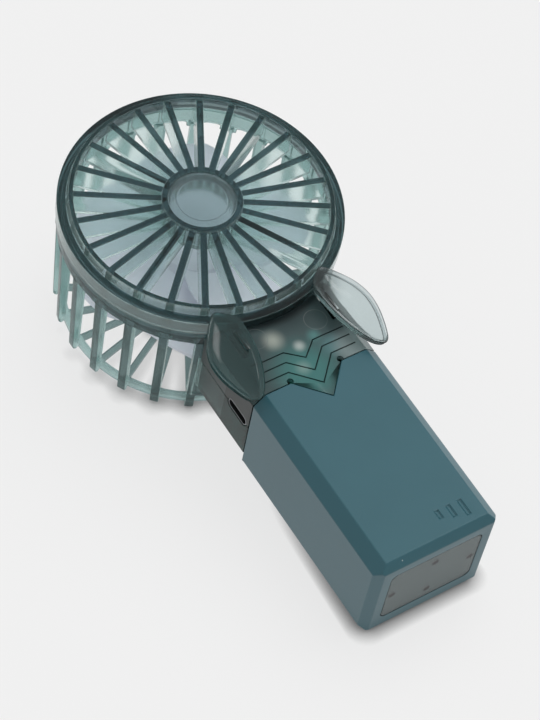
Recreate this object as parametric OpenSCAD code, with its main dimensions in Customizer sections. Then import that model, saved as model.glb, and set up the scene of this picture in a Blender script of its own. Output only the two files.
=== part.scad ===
// A hand-held USB mini fan lying on its back. The fan's axis is +Z and the handle runs along +X.
// The origin is on the fan's axis, in the plane of the rear feet. Lengths are in millimetres.

/* [Front grille] */
// Outer radius of the rim
rim_r = 40; // [38:0.5:44]
// Depth of the head from its rear feet to the raised ring
head_depth = 46.4; // [45.4:0.2:50]
// Rise of the raised ring over the flat rim
ring_rise = 2.8; // [2:0.1:3.6]
// Width of the band from the rim's edge to the raised ring's inner edge
rim_band = 4.4; // [4:0.1:5.4]
// Wall of the raised ring at its top
ring_wall = 1.3; // [1:0.1:1.6]
// Spread of the raised ring's wall at its foot
ring_spread = 0.5; // [0.2:0.1:0.7]
// Thickness of the rim and of its skirt
rim_t = 1.5; // [1.2:0.1:1.8]
// Height of the rim's skirt
skirt_h = 5.1; // [4.2:0.1:5.6]
// Number of fins, and of bars round the drum
fin_count = 24; // [20:2:28]
// Width of a fin at its top
fin_w = 2; // [1.6:0.1:2.4]
// Depth of a fin
fin_depth = 8.2; // [6:0.1:8.8]
// Outer radius of the hub ring
hub_r = 11.3; // [10.8:0.1:12]
// Wall of the hub ring
hub_wall = 1.7; // [1.3:0.1:2]
// Thickness of the hub cap
cap_t = 1.6; // [1.2:0.1:2]
// Depth of the hub cap below the hub ring
cap_sink = 0.4; // [0.2:0.1:0.8]
// Radius of the circle moulded in the cap
cap_line_r = 7.2; // [6.4:0.1:7.8]

/* [Drum] */
// Step from the rim's edge in to the drum
rim_lip = 0.5; // [0.3:0.1:0.7]
// Wall of the drum above its windows
drum_wall = 1.6; // [1.4:0.1:2]
// Height of the sill over the feet where the neck closes the windows
sill_z = 9; // [8.6:0.2:10.4]
// Height of the solid band over the windows
band_h = 5.2; // [4.6:0.1:9]
// Width of a bar
bar_w = 2.5; // [2:0.1:3]
// Depth of a bar from its outer face
bar_depth = 3.3; // [3:0.1:3.8]
// Draw of the bars' outer face towards the feet
bar_draft = 1.2; // [0.6:0.1:1.4]
// Rounding of the windows' top corners
arch_r = 1.3; // [1:0.1:1.8]
// Rounding of a foot
foot_round = 1; // [0.6:0.1:1.2]
// Lift of the base ring over the feet
base_lift = 1.1; // [0.8:0.1:1.6]
// Height of the base ring
base_ring_h = 2.2; // [2.1:0.1:3]
// Width of the base ring
base_ring_w = 1.9; // [1.6:0.1:2.4]
// Reach of the base ring into the bars
base_grip = 0.6; // [0.4:0.1:0.9]
// Thickness of the rear grille
plate_t = 1.7; // [1.4:0.1:1.8]
// Width of a rear spoke
spoke_w = 1.8; // [1.4:0.1:2.2]
// Radius of the rear hub plate
hub_plate_r = 15; // [14.6:0.2:16]

/* [Neck and handle] */
// Width of the neck and the handle
body_w = 39.1; // [38.7:0.1:40.5]
// Thickness of the handle
handle_h = 33; // [32.4:0.1:34]
// Drop from the rim to the handle's front
front_drop = 3.1; // [2.8:0.1:3.4]
// Length of the handle
handle_len = 60.6; // [56:0.2:70]
// Distance from the rim to the joint of neck and handle
neck_gap = 19.8; // [19.6:0.1:20.6]
// Bevel along the handle's edges
bevel = 3.4; // [2.8:0.1:4]
// Bevel round the end of the handle
end_bevel = 2.2; // [1.6:0.1:2.6]
// Rise of the neck's back over the handle's back
neck_rise = 3.3; // [2.6:0.1:3.6]
// Length of the ramp where the handle's back falls away from the neck
ramp_len = 12; // [8:0.5:16]
// Height of the neck's parting line over the handle's back
parting_h = 19; // [18.6:0.1:19.4]
// Wall of the neck's shells
neck_wall = 1.6; // [1.4:0.1:1.8]
// Wall of the handle sleeve
sleeve_wall = 2; // [1.8:0.1:2.2]
// Length of the pointed tongue on the neck's front
tongue_len = 8.6; // [7:0.2:9.4]
// Half the width of the tongue at its root
tongue_half = 8; // [7:0.2:8.6]
// Radius of the round reliefs beside the tongue
relief_r = 0.9; // [0.6:0.1:1]
// Spacing of the engraved lines
line_pitch = 3; // [2.4:0.1:3.2]
// Width of an engraved line
line_w = 0.3; // [0.3:0.1:0.6]
// Depth of an engraved line
line_depth = 0.3; // [0.2:0.1:0.5]
// Number of engraved lines
line_count = 3; // [1:1:3]

/* [Leaves] */
// Length of a leaf
leaf_len = 29; // [26:0.5:30]
// Width of a leaf
leaf_w = 13.9; // [12:0.2:14.4]
// Thickness of a leaf at its raised edge
leaf_t = 2.5; // [2.1:0.1:2.7]
// Depth of the dish in a leaf
dish_depth = 1.3; // [0.6:0.1:1.4]
// Width of the raised edge round the dish
leaf_edge = 1.4; // [1:0.1:1.8]
// Outward tilt of a leaf
leaf_tilt = 8; // [6:0.5:9]
// Downward slope of a leaf towards its tip
leaf_slope = 2.5; // [0:0.5:3]
// Width of the slot that takes a leaf's keel
slot_w = 2.2; // [2:0.1:2.6]
// Thickness of a leaf's keel
keel_t = 1.1; // [0.9:0.1:1.3]

/* [Fan and motor] */
// Number of blades
blade_count = 5; // [4:1:6]
// Gap between the blades and the bars
blade_gap = 2.2; // [1.6:0.1:4]
// Thickness of a blade
blade_t = 1.1; // [0.9:0.1:1.4]
// Pitch of a blade
blade_pitch = 22; // [18:1:24]
// Radius of the blades' camber
camber_r = 50; // [44:1:70]
// Outer radius of the impeller's hub
impeller_hub_r = 12.4; // [12.2:0.1:12.8]
// Depth of the impeller's hub
impeller_hub_h = 20.4; // [19.4:0.2:22]
// Radius of the motor shaft
shaft_r = 1; // [0.8:0.1:1.2]
// Outer radius of the rotor cup
rotor_r = 10.7; // [10.5:0.1:10.8]
// Wall of the rotor cup
rotor_wall = 0.7; // [0.6:0.1:0.8]
// Height of the rotor cup
rotor_h = 9.8; // [9.4:0.1:10.6]
// Radial thickness of the magnet ring
magnet_t = 0.9; // [0.7:0.1:1]
// Outer radius of the bearing tube
tube_r = 3.3; // [3.2:0.1:3.4]
// Outer radius of a bush
bush_r = 2.5; // [2.4:0.1:2.6]
// Length of a bush
bush_len = 3; // [2.4:0.1:3.4]
// Thickness of the bracket's flange
flange_t = 1.5; // [1.3:0.1:1.7]
// Radius of the motor board
motor_board_r = 16; // [15.6:0.1:17]
// Thickness of the circuit boards
board_t = 1.2; // [1:0.1:1.4]
// Number of stator teeth
tooth_count = 9; // [9:3:9]
// Height of the stator's stack
stack_h = 5; // [4.6:0.1:5.2]

/* [Inlet and button] */
// Width of the inlet's metal shell
port_w = 8.94; // [8.9:0.02:9]
// Height of the inlet's metal shell
port_h = 3.26; // [3.2:0.02:3.32]
// Depth of the inlet's metal shell
port_depth = 7.3; // [6.9:0.1:7.5]
// Distance from the inlet to the joint of neck and handle
port_gap = 5.8; // [5.7:0.1:6]
// Distance from the button to the joint of neck and handle
button_gap = 9.8; // [9.4:0.1:10.2]
// Width of the button
button_w = 9; // [8:0.2:9.2]
// Height of the button
button_h = 4.2; // [4:0.1:4.4]
// Stand of the button over the neck's side
button_stand = 0.9; // [0.7:0.1:1.2]
// Travel of the button
button_travel = 0.6; // [0.4:0.1:0.6]

/* [Battery] */
// Room between the neck's joint and the cell
cell_start = 3.8; // [3.6:0.1:8]
// Room between the cell and the tray's end
cell_end = 3; // [2.6:0.1:8]
// Room beside the cell
cell_side = 1.35; // [1:0.05:4]
// Thickness of the cell
cell_t = 12; // [10:0.2:12.4]
// Wall of the battery tray
tray_t = 1.4; // [1.2:0.1:1.5]
// Thickness of the pads on the cell
pad_t = 1.5; // [1.2:0.1:1.7]
// Border beside the window in the handle's end
window_side = 5.25; // [5:0.05:7]
// Border behind the window in the handle's end
window_back = 6.4; // [6:0.1:8]
// Border in front of the window in the handle's end
window_front = 5.6; // [5.2:0.1:8]
// Thickness of the window plate
window_t = 1.2; // [1:0.1:1.3]

/* [Hidden] */
$fn = 96;

// Overrun of every cut, and the clearances
cut = 1;
seam = 0.1;
fit = 0.05;
run = 0.03;
slip = 0.15;

// Levels and radii of the head
rim_z = head_depth - ring_rise;
skirt_z = rim_z - skirt_h;
ring_r = rim_r - rim_band;
skirt_in_r = rim_r - rim_t;
fin_pitch = 360 / fin_count;
hub_bore_r = hub_r - hub_wall;
drum_r = rim_r - rim_lip;
drum_in_r = drum_r - drum_wall;
window_z = skirt_z - band_h;
spigot_r = skirt_in_r - slip;
spigot_wall = 1.3;
spigot_gap = 1.6;
joint_rib = 0.6;
bar_in_r = drum_r - bar_depth;
base_r = bar_in_r + base_grip;
base_in_r = base_r - base_ring_w;
hub_plate_t = 5;
plate_z = base_lift + (base_ring_h - plate_t) / 2;
arm_w = 6;

// Levels and ends of the neck and the handle
neck_len = rim_r + neck_gap;
reach = neck_len + handle_len;
handle_top = rim_z - front_drop;
handle_lift = handle_top - handle_h;
neck_z = handle_lift + neck_rise;
parting_z = handle_lift + parting_h;
half_w = body_w / 2;
neck_floor = neck_z + neck_wall;
neck_ceiling = handle_top - neck_wall;
neck_in_w = body_w - 2 * neck_wall;
neck_start_share = 0.7;
neck_start = rim_r * neck_start_share;
head_gap = 0.2;
round_share = 0.3;
wire_gate = [9, 4];
gate_floor = max(neck_floor, sill_z + seam);

// How the engraved lines draw in from the tongue's sides and tip
line_side_share = 0.36;
line_tip_share = 0.5;

// Posts and screws of the neck
post_gap = 4.5;
post_inset = 10.35;
post_x = rim_r + post_gap;
post_y = half_w - post_inset;
post_r = 3.1;
screw_r = 1;
screw_head_r = 2;
screw_head_t = 1.4;
collar_screw_len = 20;
head_well_r = 2.2;
head_well = 2;
pilot_r = screw_r + fit;
support_r = 1.3;

// Leaves and their keels
leaf_over_rim = 6.5;
leaf_inset = 8.05;
leaf_rise = 0.1;
leaf_x = rim_r - leaf_over_rim;
leaf_y = half_w - leaf_inset;
leaf_top = head_depth + leaf_rise;
keel_inset = 5.15;
keel_gap = 0.6;
keel_len = 7;
keel_sink = 2.4;
keel_y = half_w - keel_inset;
keel_start = rim_r + keel_gap;
keel_end = keel_start + keel_len;
slot_start_share = 0.5;
leaf_outline_shares = [
    [0.14, 0.01], [0.26, 0], [0.38, 0.02], [0.55, 0.08], [0.72, 0.19], [0.87, 0.34],
    [0.95, 0.45], [0.995, 0.56], [1, 0.64], [0.98, 0.71], [0.94, 0.77], [0.82, 0.87],
    [0.66, 0.965], [0.5, 1], [0.38, 0.965], [0.26, 0.87], [0.14, 0.7], [0.05, 0.54],
    [0, 0.42], [0, 0.36]
];

// Motor
flange_z = hub_plate_t;
motor_board_z = flange_z + flange_t;
motor_board_top = motor_board_z + board_t;
rotor_z = 8.6;
rotor_top = rotor_z + rotor_h;
rotor_boss_r = 2.6;
rotor_boss_h = 2;
rotor_in_r = rotor_r - rotor_wall;
magnet_in_r = rotor_in_r - magnet_t;
magnet_gap = 0.4;
air_gap = 0.5;
stator_r = magnet_in_r - air_gap;
stack_z = rotor_z + magnet_gap;
tube_top = rotor_top - rotor_wall - 2 * seam;
shaft_z = flange_z + magnet_gap;
tooth_w = 1.6;
tooth_ring = 1.6;
shoe_t = 1;
shoe_angle = 26;
coil_wall = 0.75;
coil_clear = 0.1;
coil_top = 0.9;
flange_r = 13;
motor_screw_r = 8.6;
motor_screws_n = 3;
motor_well = 1.6;
board_part_w = 2.6;
board_part_t = 0.9;
board_parts_n = 6;
board_parts_start = 25;

// Impeller
impeller_z = 9.2;
impeller_top = impeller_z + impeller_hub_h;
impeller_wall = impeller_hub_r - rotor_r - fit;
nose_round = 3;
nose_wall = 1.4;
blade_r = bar_in_r - blade_gap;
blade_rise = 16.3;
blade_start = -50;
blade_mid_z = impeller_z + blade_rise;
petal_r_share = 0.53;
petal_x_share = 0.55;

// Inlet, button and main board
port_x = neck_len - port_gap;
button_x = neck_len - button_gap;
port_z = parting_z;
port_wall = 0.3;
port_clear = 0.2;
board_top = port_z - port_h / 2;
board_z = board_top - board_t;
board_start = 1.8;
board_end = 1.4;
board_x0 = rim_r + board_start;
board_x1 = neck_len - board_end;
board_side = 1;
board_w = neck_in_w - 2 * board_side;
port_mouth = half_w - 0.15;
tongue_t = 0.7;
tongue_w = 6.7;
tongue_depth = 4.6;
button_flange = 0.9;
button_flange_over = 0.8;
switch_w = 6;
switch_d = 3;
switch_h = 3.4;
plunger_r = 0.9;
plunger_seat = 1.5;

// Small parts on the main board
chip_back = 10.8;
chip_x = neck_len - chip_back;
chip_y = -6.4;
chip_w = 5;
chip_h = 1;
coil_back = 10.2;
coil_x = neck_len - coil_back;
coil_y = 1.6;
coil_w = 4.2;
coil_h = 2;
can_back = 14.2;
can_gap = 1.7;
can_r = 2;
can_x = neck_len - can_back;
can_y = post_y - post_r - can_gap - can_r;
can_h = 5.4;
socket_back = 5.4;
socket_x = neck_len - socket_back;
socket_d = 3.6;
socket_w = 6;
socket_h = 3.2;
lamp_count = 4;
lamp_back = 12;
lamp_inset = 2.6;
lamp_x = neck_len - lamp_back;
lamp_y = lamp_inset - post_y;
lamp_pitch = 1.9;
lamp_w = 1.5;
lamp_h = 0.7;
lead_y = 1.4;
lead_run = 2;

// Battery and window
cavity_w = body_w - 2 * sleeve_wall;
cavity_top = handle_top - sleeve_wall;
cavity_z0 = neck_z + sleeve_wall;
cavity_z1 = handle_lift + sleeve_wall;
sleeve_end = reach - sleeve_wall;
tray_gap = 0.2;
tray_w = cavity_w - 2 * tray_gap;
tray_back = 9.8;
tray_rise = 9.7;
tray_x0 = neck_len - tray_back;
tray_x1 = sleeve_end - tray_gap;
tray_z = handle_lift + tray_rise;
tray_top = tray_z + tray_t;
tray_shoulder = 6.55;
tray_neck_w = body_w - 2 * tray_shoulder;
tray_lip = 6;
tray_screw_back = 6.6;
tray_screw_inset = 9.35;
tray_screw_x = neck_len - tray_screw_back;
tray_screw_y = half_w - tray_screw_inset;
tray_post_r = 2.4;
tray_screw_len = 5;
tray_end_drop = 3.5;
tray_end_top = handle_top - tray_end_drop;
cell_x0 = neck_len + cell_start;
cell_len = tray_x1 - tray_t - cell_end - cell_x0;
cell_w = tray_w - 2 * cell_side;
cell_round = 2;
pad_w = 8;
cover_z = tray_top + cell_t + pad_t;
cover_t = 1.2;
cover_rib = 1.4;
cover_inset = 2;
cover_w = cell_w - 2 * cover_inset;
window_w = body_w - 2 * window_side;
window_d = handle_h - window_back - window_front;
window_z_mid = handle_lift + window_back + window_d / 2;
window_round = 2;
peg_r = 1;
peg_inset = 1.8;
peg_drop = 3.7;
peg_y = window_w / 2 - peg_inset;
peg_z = window_d / 2 - peg_drop;
window_gap = 0.1;
wire_r = 0.55;
wire_pitch = 2;
bend_share = 1.2;

// Three engraved bars near the handle's end
mark_back = 8;
mark_x = reach - mark_back;
mark_y0 = 4.4;
mark_pitch = 3.6;
mark_w = 1.1;
mark_len = 2.6;
mark_step = 1.2;
mark_depth = 0.3;

module ring(r_out, r_in, h) {
    difference() {
        cylinder(r = r_out, h = h);
        translate([0, 0, -cut]) cylinder(r = r_in, h = h + 2 * cut);
    }
}

// Copies round the fan's axis
module round_axis(n, start = 0, pitch = 0) {
    for (i = [0 : n - 1]) rotate([0, 0, start + i * (pitch > 0 ? pitch : 360 / n)]) children();
}

module mirror_y() {
    children();
    mirror([0, 1, 0]) children();
}

// A flat stadium in the XZ plane, extruded along +Y from y = 0
module stadium(w, h, depth) {
    rotate([-90, 0, 0]) linear_extrude(height = depth) union() {
        square([w - h, h], center = true);
        for (side = [-1, 1]) translate([side * (w - h) / 2, 0]) circle(r = h / 2, $fn = 32);
    }
}

// Section of the neck or the handle across X, between two heights
module section(w, z0, z1, low, high) {
    polygon([
        [-w / 2, z0 + low], [-w / 2 + low, z0], [w / 2 - low, z0], [w / 2, z0 + low],
        [w / 2, z1 - high], [w / 2 - high, z1], [-w / 2 + high, z1], [-w / 2, z1 - high]
    ]);
}

module along_x(x0, x1) {
    translate([x0, 0, 0]) rotate([90, 0, 90]) linear_extrude(height = x1 - x0) children();
}

// A wire of straight runs with round bends
module wire(points, r) {
    for (i = [0 : len(points) - 2]) {
        run_vector = points[i + 1] - points[i];
        length = norm(run_vector);
        turn = atan2(run_vector.y, run_vector.x);
        fall = acos(run_vector.z / length);
        translate(points[i]) rotate([0, fall, turn]) cylinder(r = r, h = length, $fn = 16);
    }
    for (i = [1 : len(points) - 2]) translate(points[i]) sphere(r = r * bend_share, $fn = 16);
}

module rim_profile() {
    polygon([
        [skirt_in_r, skirt_z], [rim_r, skirt_z], [rim_r, rim_z],
        [ring_r + ring_wall + ring_spread, rim_z], [ring_r + ring_wall, head_depth],
        [ring_r, head_depth], [ring_r, rim_z - rim_t], [skirt_in_r, rim_z - rim_t]
    ]);
}

module front_grille() {
    color([0.2, 0.31, 0.34, 0.85]) {
        rotate_extrude($fn = 144) rim_profile();
        difference() {
            union() {
                translate([0, 0, head_depth - fin_depth]) cylinder(r = hub_r, h = fin_depth);
                round_axis(fin_count) translate([0, -fin_w / 2, head_depth - fin_depth])
                    cube([ring_r + ring_wall / 2, fin_w, fin_depth - cap_sink]);
            }
            translate([0, 0, head_depth - fin_depth - cut])
                cylinder(r = hub_bore_r, h = fin_depth + 2 * cut);
        }
        translate([0, 0, head_depth - fin_depth])
            ring(hub_bore_r + fit, hub_bore_r - hub_wall / 2, fin_depth - cap_t - 2 * cap_sink);
    }
}

module hub_cap() {
    cap_z = head_depth - cap_sink - cap_t;
    color([0.55, 0.62, 0.66, 0.8]) difference() {
        translate([0, 0, cap_z]) cylinder(r = hub_bore_r - fit, h = cap_t);
        translate([0, 0, cap_z + cap_t - line_depth])
            ring(cap_line_r + line_w / 2, cap_line_r - line_w / 2, line_depth + cut);
    }
}

// Section of a bar: a drafted outer face down to a rounded foot
module bar_profile() {
    foot_r = drum_r - bar_draft;
    polygon([
        [bar_in_r, window_z + cut], [bar_in_r, foot_round], [bar_in_r + foot_round, 0],
        [foot_r - foot_round, 0],
        [foot_r - round_share * foot_round, round_share * foot_round],
        [foot_r, foot_round], [drum_r - seam, window_z + cut]
    ]);
}

// A bar seen from the side of the drum, with a rounded web under the band at each hand
module bar_face() {
    web_h = arch_r - seam;
    translate([-bar_w / 2, 0]) square([bar_w, window_z + 2 * cut]);
    difference() {
        translate([-bar_w / 2 - web_h, window_z - web_h]) square([bar_w + 2 * web_h, web_h + cut / 2]);
        for (side = [-1, 1]) translate([side * (bar_w / 2 + web_h), window_z - web_h])
            circle(r = arch_r, $fn = 48);
    }
}

module drum_walls() {
    translate([0, 0, window_z]) ring(drum_r, drum_in_r, skirt_z - window_z);
    translate([0, 0, window_z + spigot_gap])
        ring(spigot_r, spigot_r - spigot_wall, rim_z - rim_t - 2 * seam - window_z - spigot_gap);
    round_axis(fin_count) translate([spigot_r - spigot_wall - joint_rib, -bar_w / 2, window_z + spigot_gap])
        cube([joint_rib + spigot_wall / 2, bar_w, rim_z - rim_t - 2 * seam - window_z - spigot_gap]);
    intersection() {
        rotate_extrude($fn = 144) bar_profile();
        round_axis(fin_count) along_x(0, rim_r) bar_face();
    }
    translate([0, 0, base_lift]) ring(base_r, base_in_r, base_ring_h);
}

module rear_grille() {
    spoke_x = hub_plate_r - plate_t;
    spoke_len = base_in_r + base_ring_w / 2 - spoke_x;
    cylinder(r = hub_plate_r, h = hub_plate_t);
    round_axis(fin_count - 1, fin_pitch, fin_pitch) translate([spoke_x, -spoke_w / 2, plate_z])
        cube([spoke_len, spoke_w, plate_t]);
    translate([spoke_x - seam, -arm_w / 2, plate_z + seam])
        cube([spoke_len, arm_w, plate_t - 2 * seam]);
}

// The wall between the drum and the neck, and the rear half of the neck
module neck_rear() {
    intersection() {
        translate([0, 0, sill_z + seam])
            ring(drum_r - 2 * seam, drum_in_r + seam, window_z - sill_z + cut);
        translate([0, -half_w, 0]) cube([rim_r, body_w, skirt_z]);
    }
    intersection() {
        translate([0, 0, sill_z - neck_wall])
            ring(drum_r - 3 * seam, bar_in_r + seam, neck_floor - seam - sill_z + neck_wall);
        translate([0, -half_w + seam, 0]) cube([rim_r, body_w - 2 * seam, skirt_z]);
    }
    difference() {
        along_x(neck_start, neck_len) section(body_w, neck_z, parting_z, bevel, 0);
        along_x(neck_start - cut, neck_len + cut)
            section(neck_in_w, neck_floor, parting_z + cut, bevel - neck_wall / 2, 0);
        translate([0, 0, sill_z]) cylinder(r = drum_in_r + drum_wall / 2, h = parting_z);
    }
    mirror_y() translate([post_x, post_y, neck_floor - seam])
        cylinder(r = post_r, h = parting_z - neck_floor);
    for (x = [board_x0 + support_r, board_x1 - support_r])
        mirror_y() translate([x, board_w / 2 - support_r, neck_floor - seam])
            cylinder(r = support_r, h = board_z - neck_floor + seam, $fn = 32);
    mirror_y() translate([tray_screw_x, tray_screw_y, neck_floor - seam])
        cylinder(r = tray_post_r, h = tray_z - neck_floor + seam, $fn = 48);
}

module rear_shell() {
    color([0.42, 0.52, 0.54, 0.8]) difference() {
        union() {
            drum_walls();
            rear_grille();
            neck_rear();
        }
        // Ways for the motor's wires, the inlet and the button
        translate([base_in_r - cut, -wire_gate.x / 2, sill_z + seam])
            cube([drum_r - base_in_r + cut + seam, wire_gate.x, gate_floor + wire_gate.y - sill_z]);
        translate([port_x, -half_w - cut, port_z])
            stadium(port_w + 2 * port_clear, port_h + 2 * port_clear, neck_wall + 2 * cut);
        translate([button_x, half_w - neck_wall - cut, port_z])
            stadium(button_w + 2 * slip, button_h + 2 * slip, neck_wall + 2 * cut);
        mirror_y() translate([post_x, post_y, 0]) {
            translate([0, 0, neck_z - cut]) cylinder(r = head_well_r, h = head_well + cut, $fn = 48);
            cylinder(r = screw_r + slip, h = parting_z + cut, $fn = 48);
        }
        mirror_y() translate([tray_screw_x, tray_screw_y, neck_floor])
            cylinder(r = pilot_r, h = tray_z, $fn = 48);
        round_axis(motor_screws_n, 180) translate([motor_screw_r, 0, -cut]) {
            cylinder(r = screw_head_r + slip, h = motor_well + cut, $fn = 48);
            cylinder(r = screw_r + slip, h = hub_plate_t + 2 * cut, $fn = 48);
        }
    }
}

// Outline of the neck's front from above, with its pointed tongue
module front_outline(grow = 0) {
    polygon([
        [neck_start, -half_w], [neck_len, -half_w], [neck_len, -tongue_half - grow],
        [neck_len + tongue_len + grow, 0],
        [neck_len, tongue_half + grow], [neck_len, half_w], [neck_start, half_w]
    ]);
}

// A line that follows the edge of the tongue, set back from it by a distance
module engraved_line(back) {
    outer = tongue_half - back * line_side_share;
    tip = tongue_len - back * line_tip_share;
    lead = half_w - bevel - line_pitch / 2;
    slant = norm([tip, outer]);
    nose = line_w * slant / outer;
    heel = line_w * (slant - outer) / tip;
    difference() {
        polygon([
            [neck_len - back, -lead], [neck_len - back, -outer], [neck_len - back + tip, 0],
            [neck_len - back, outer], [neck_len - back, lead],
            [neck_len - back - line_w, lead], [neck_len - back - line_w, -lead]
        ]);
        polygon([
            [neck_len - back - line_w, -lead - cut], [neck_len - back - line_w, heel - outer],
            [neck_len - back + tip - nose, 0],
            [neck_len - back - line_w, outer - heel], [neck_len - back - line_w, lead + cut],
            [neck_len - back - tip, lead + cut], [neck_len - back - tip, -lead - cut]
        ]);
    }
}

module collar_front() {
    color([0.36, 0.48, 0.5, 0.75]) difference() {
        union() {
            difference() {
                intersection() {
                    along_x(neck_start, neck_len + tongue_len + cut)
                        section(body_w, parting_z + seam, handle_top, 0, bevel);
                    linear_extrude(height = handle_top) front_outline();
                }
                difference() {
                    along_x(neck_start - cut, neck_len + tongue_len)
                        section(neck_in_w, parting_z - cut, neck_ceiling, 0, bevel - neck_wall / 2);
                    translate([neck_len, -half_w, parting_z]) cube([tongue_len, body_w, handle_h]);
                }
                translate([neck_len - slip, -half_w, 0])
                    cube([tongue_len + 2 * cut, body_w, handle_top - sleeve_wall]);
            }
            mirror_y() translate([post_x, post_y, parting_z + seam])
                cylinder(r = post_r, h = neck_ceiling - parting_z);
            mirror_y() translate([keel_start - neck_wall, keel_y - neck_wall - slot_w / 2, neck_ceiling - keel_sink])
                cube([keel_end - keel_start + 2 * neck_wall, slot_w + 2 * neck_wall, keel_sink + seam]);
        }
        cylinder(r = rim_r + head_gap, h = head_depth, $fn = 144);
        mirror_y() translate([post_x, post_y, 0])
            cylinder(r = pilot_r, h = neck_z + head_well + collar_screw_len + seam, $fn = 48);
        mirror_y() translate([rim_r * slot_start_share, keel_y - slot_w / 2, neck_ceiling - keel_sink + neck_wall / 2])
            cube([keel_end - rim_r * slot_start_share, slot_w, head_depth]);
        translate([port_x, -half_w - cut, port_z])
            stadium(port_w + 2 * port_clear, port_h + 2 * port_clear, neck_wall + 2 * cut);
        translate([button_x, half_w - neck_wall - cut, port_z])
            stadium(button_w + 2 * slip, button_h + 2 * slip, neck_wall + 2 * cut);
        mirror_y() translate([neck_len - relief_r / 2, tongue_half, handle_top - sleeve_wall])
            cylinder(r = relief_r, h = sleeve_wall + cut, $fn = 32);
        translate([0, 0, handle_top - line_depth]) linear_extrude(height = line_depth + cut)
            for (i = [1 : line_count]) engraved_line(i * line_pitch);
    }
}

module leaf_outline() {
    polygon([for (p = leaf_outline_shares) [p.x * leaf_len, p.y * leaf_w]]);
}

// The leaf on the +Y side; the other is its mirror image
module leaf() {
    difference() {
        union() {
            translate([leaf_x, leaf_y, leaf_top - leaf_t]) rotate([-leaf_tilt, leaf_slope, 0])
                difference() {
                    linear_extrude(height = leaf_t) leaf_outline();
                    translate([0, 0, leaf_t - dish_depth]) linear_extrude(height = dish_depth + cut)
                        intersection() {
                            offset(delta = -leaf_edge) leaf_outline();
                            translate([leaf_edge * 3, 0]) square([leaf_len, leaf_w]);
                        }
                }
            translate([keel_start, keel_y + slot_w / 2 - keel_t - fit, neck_ceiling])
                cube([keel_end - keel_start - seam, keel_t, leaf_top - leaf_t - neck_ceiling + seam]);
        }
        cylinder(r = rim_r + head_gap, h = rim_z + seam, $fn = 144);
        cylinder(r = ring_r + ring_wall + ring_spread + head_gap, h = head_depth + cut, $fn = 144);
    }
}

module left_leaf() {
    color([0.4, 0.53, 0.55, 0.8]) mirror([0, 1, 0]) leaf();
}

module right_leaf() {
    color([0.4, 0.53, 0.55, 0.8]) leaf();
}

// The handle's side view, with the ramp at the neck and the bevels at the end
module side_outline() {
    polygon([
        [neck_len + seam, neck_z], [neck_len + ramp_len, handle_lift],
        [reach - end_bevel, handle_lift], [reach, handle_lift + end_bevel],
        [reach, handle_top - end_bevel], [reach - end_bevel, handle_top], [neck_len + seam, handle_top]
    ]);
}

module top_outline() {
    polygon([
        [neck_len, -half_w], [reach - end_bevel, -half_w], [reach, -half_w + end_bevel],
        [reach, half_w - end_bevel], [reach - end_bevel, half_w], [neck_len, half_w]
    ]);
}

module window_outline(grow) {
    w = window_w + 2 * grow;
    d = window_d + 2 * grow;
    union() {
        square([w - 2 * window_round, d], center = true);
        square([w, d - 2 * window_round], center = true);
        for (y = [-1, 1], z = [-1, 1])
            translate([y * (w / 2 - window_round), z * (d / 2 - window_round)])
                circle(r = window_round, $fn = 32);
    }
}

module pegs(r, x0, x1) {
    for (side = [-1, 1]) {
        translate([x0, side * peg_y, window_z_mid]) rotate([0, 90, 0])
            cylinder(r = r, h = x1 - x0, $fn = 32);
        translate([x0, 0, window_z_mid + side * peg_z]) rotate([0, 90, 0])
            cylinder(r = r, h = x1 - x0, $fn = 32);
    }
}

module handle_sleeve() {
    color([0.28, 0.42, 0.46]) difference() {
        intersection() {
            along_x(neck_len + seam, reach) section(body_w, handle_lift, handle_top, bevel, bevel);
            translate([0, half_w + cut, 0]) rotate([90, 0, 0])
                linear_extrude(height = body_w + 2 * cut) side_outline();
            linear_extrude(height = handle_top) top_outline();
        }
        translate([neck_len - cut, -cavity_w / 2, cavity_z0])
            cube([sleeve_end - neck_len + cut, cavity_w, cavity_top - cavity_z0]);
        translate([neck_len + ramp_len, -cavity_w / 2, cavity_z1])
            cube([sleeve_end - neck_len - ramp_len, cavity_w, cavity_top - cavity_z1]);
        translate([0, 0, cavity_top - cut]) linear_extrude(height = sleeve_wall + 2 * cut)
            front_outline(slip);
        translate([reach - window_t - window_gap, 0, window_z_mid]) rotate([90, 0, 90])
            linear_extrude(height = window_t + cut) window_outline(window_gap);
        pegs(peg_r + fit, sleeve_end - cut, reach);
        for (i = [0 : 2])
            translate([mark_x - mark_len / 2, mark_y0 + i * mark_pitch - mark_w / 2, handle_top - mark_depth])
                cube([mark_len + i * mark_step, mark_w, mark_depth + cut]);
    }
}

module base_window() {
    color([0.4, 0.52, 0.53, 0.8]) {
        translate([reach - window_t - window_gap, 0, window_z_mid]) rotate([90, 0, 90])
            linear_extrude(height = window_t) window_outline(0);
        pegs(peg_r, tray_x1 - tray_t, reach - window_t);
    }
}

// A pitched and cambered sheet, cut to a round-ended petal
module blade() {
    intersection() {
        linear_extrude(height = head_depth) intersection() {
            difference() {
                circle(r = blade_r);
                circle(r = impeller_hub_r - impeller_wall / 2);
            }
            translate([blade_r * petal_x_share, 0]) circle(r = blade_r * petal_r_share);
        }
        translate([0, 0, blade_mid_z]) rotate([-blade_pitch, 0, 0])
            translate([0, 0, -camber_r]) rotate([0, 90, 0]) difference() {
                cylinder(r = camber_r, h = rim_r, $fn = 180);
                translate([0, 0, -cut]) cylinder(r = camber_r - blade_t, h = rim_r + 2 * cut, $fn = 180);
            }
        cylinder(r = rim_r, h = head_depth);
    }
}

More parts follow.
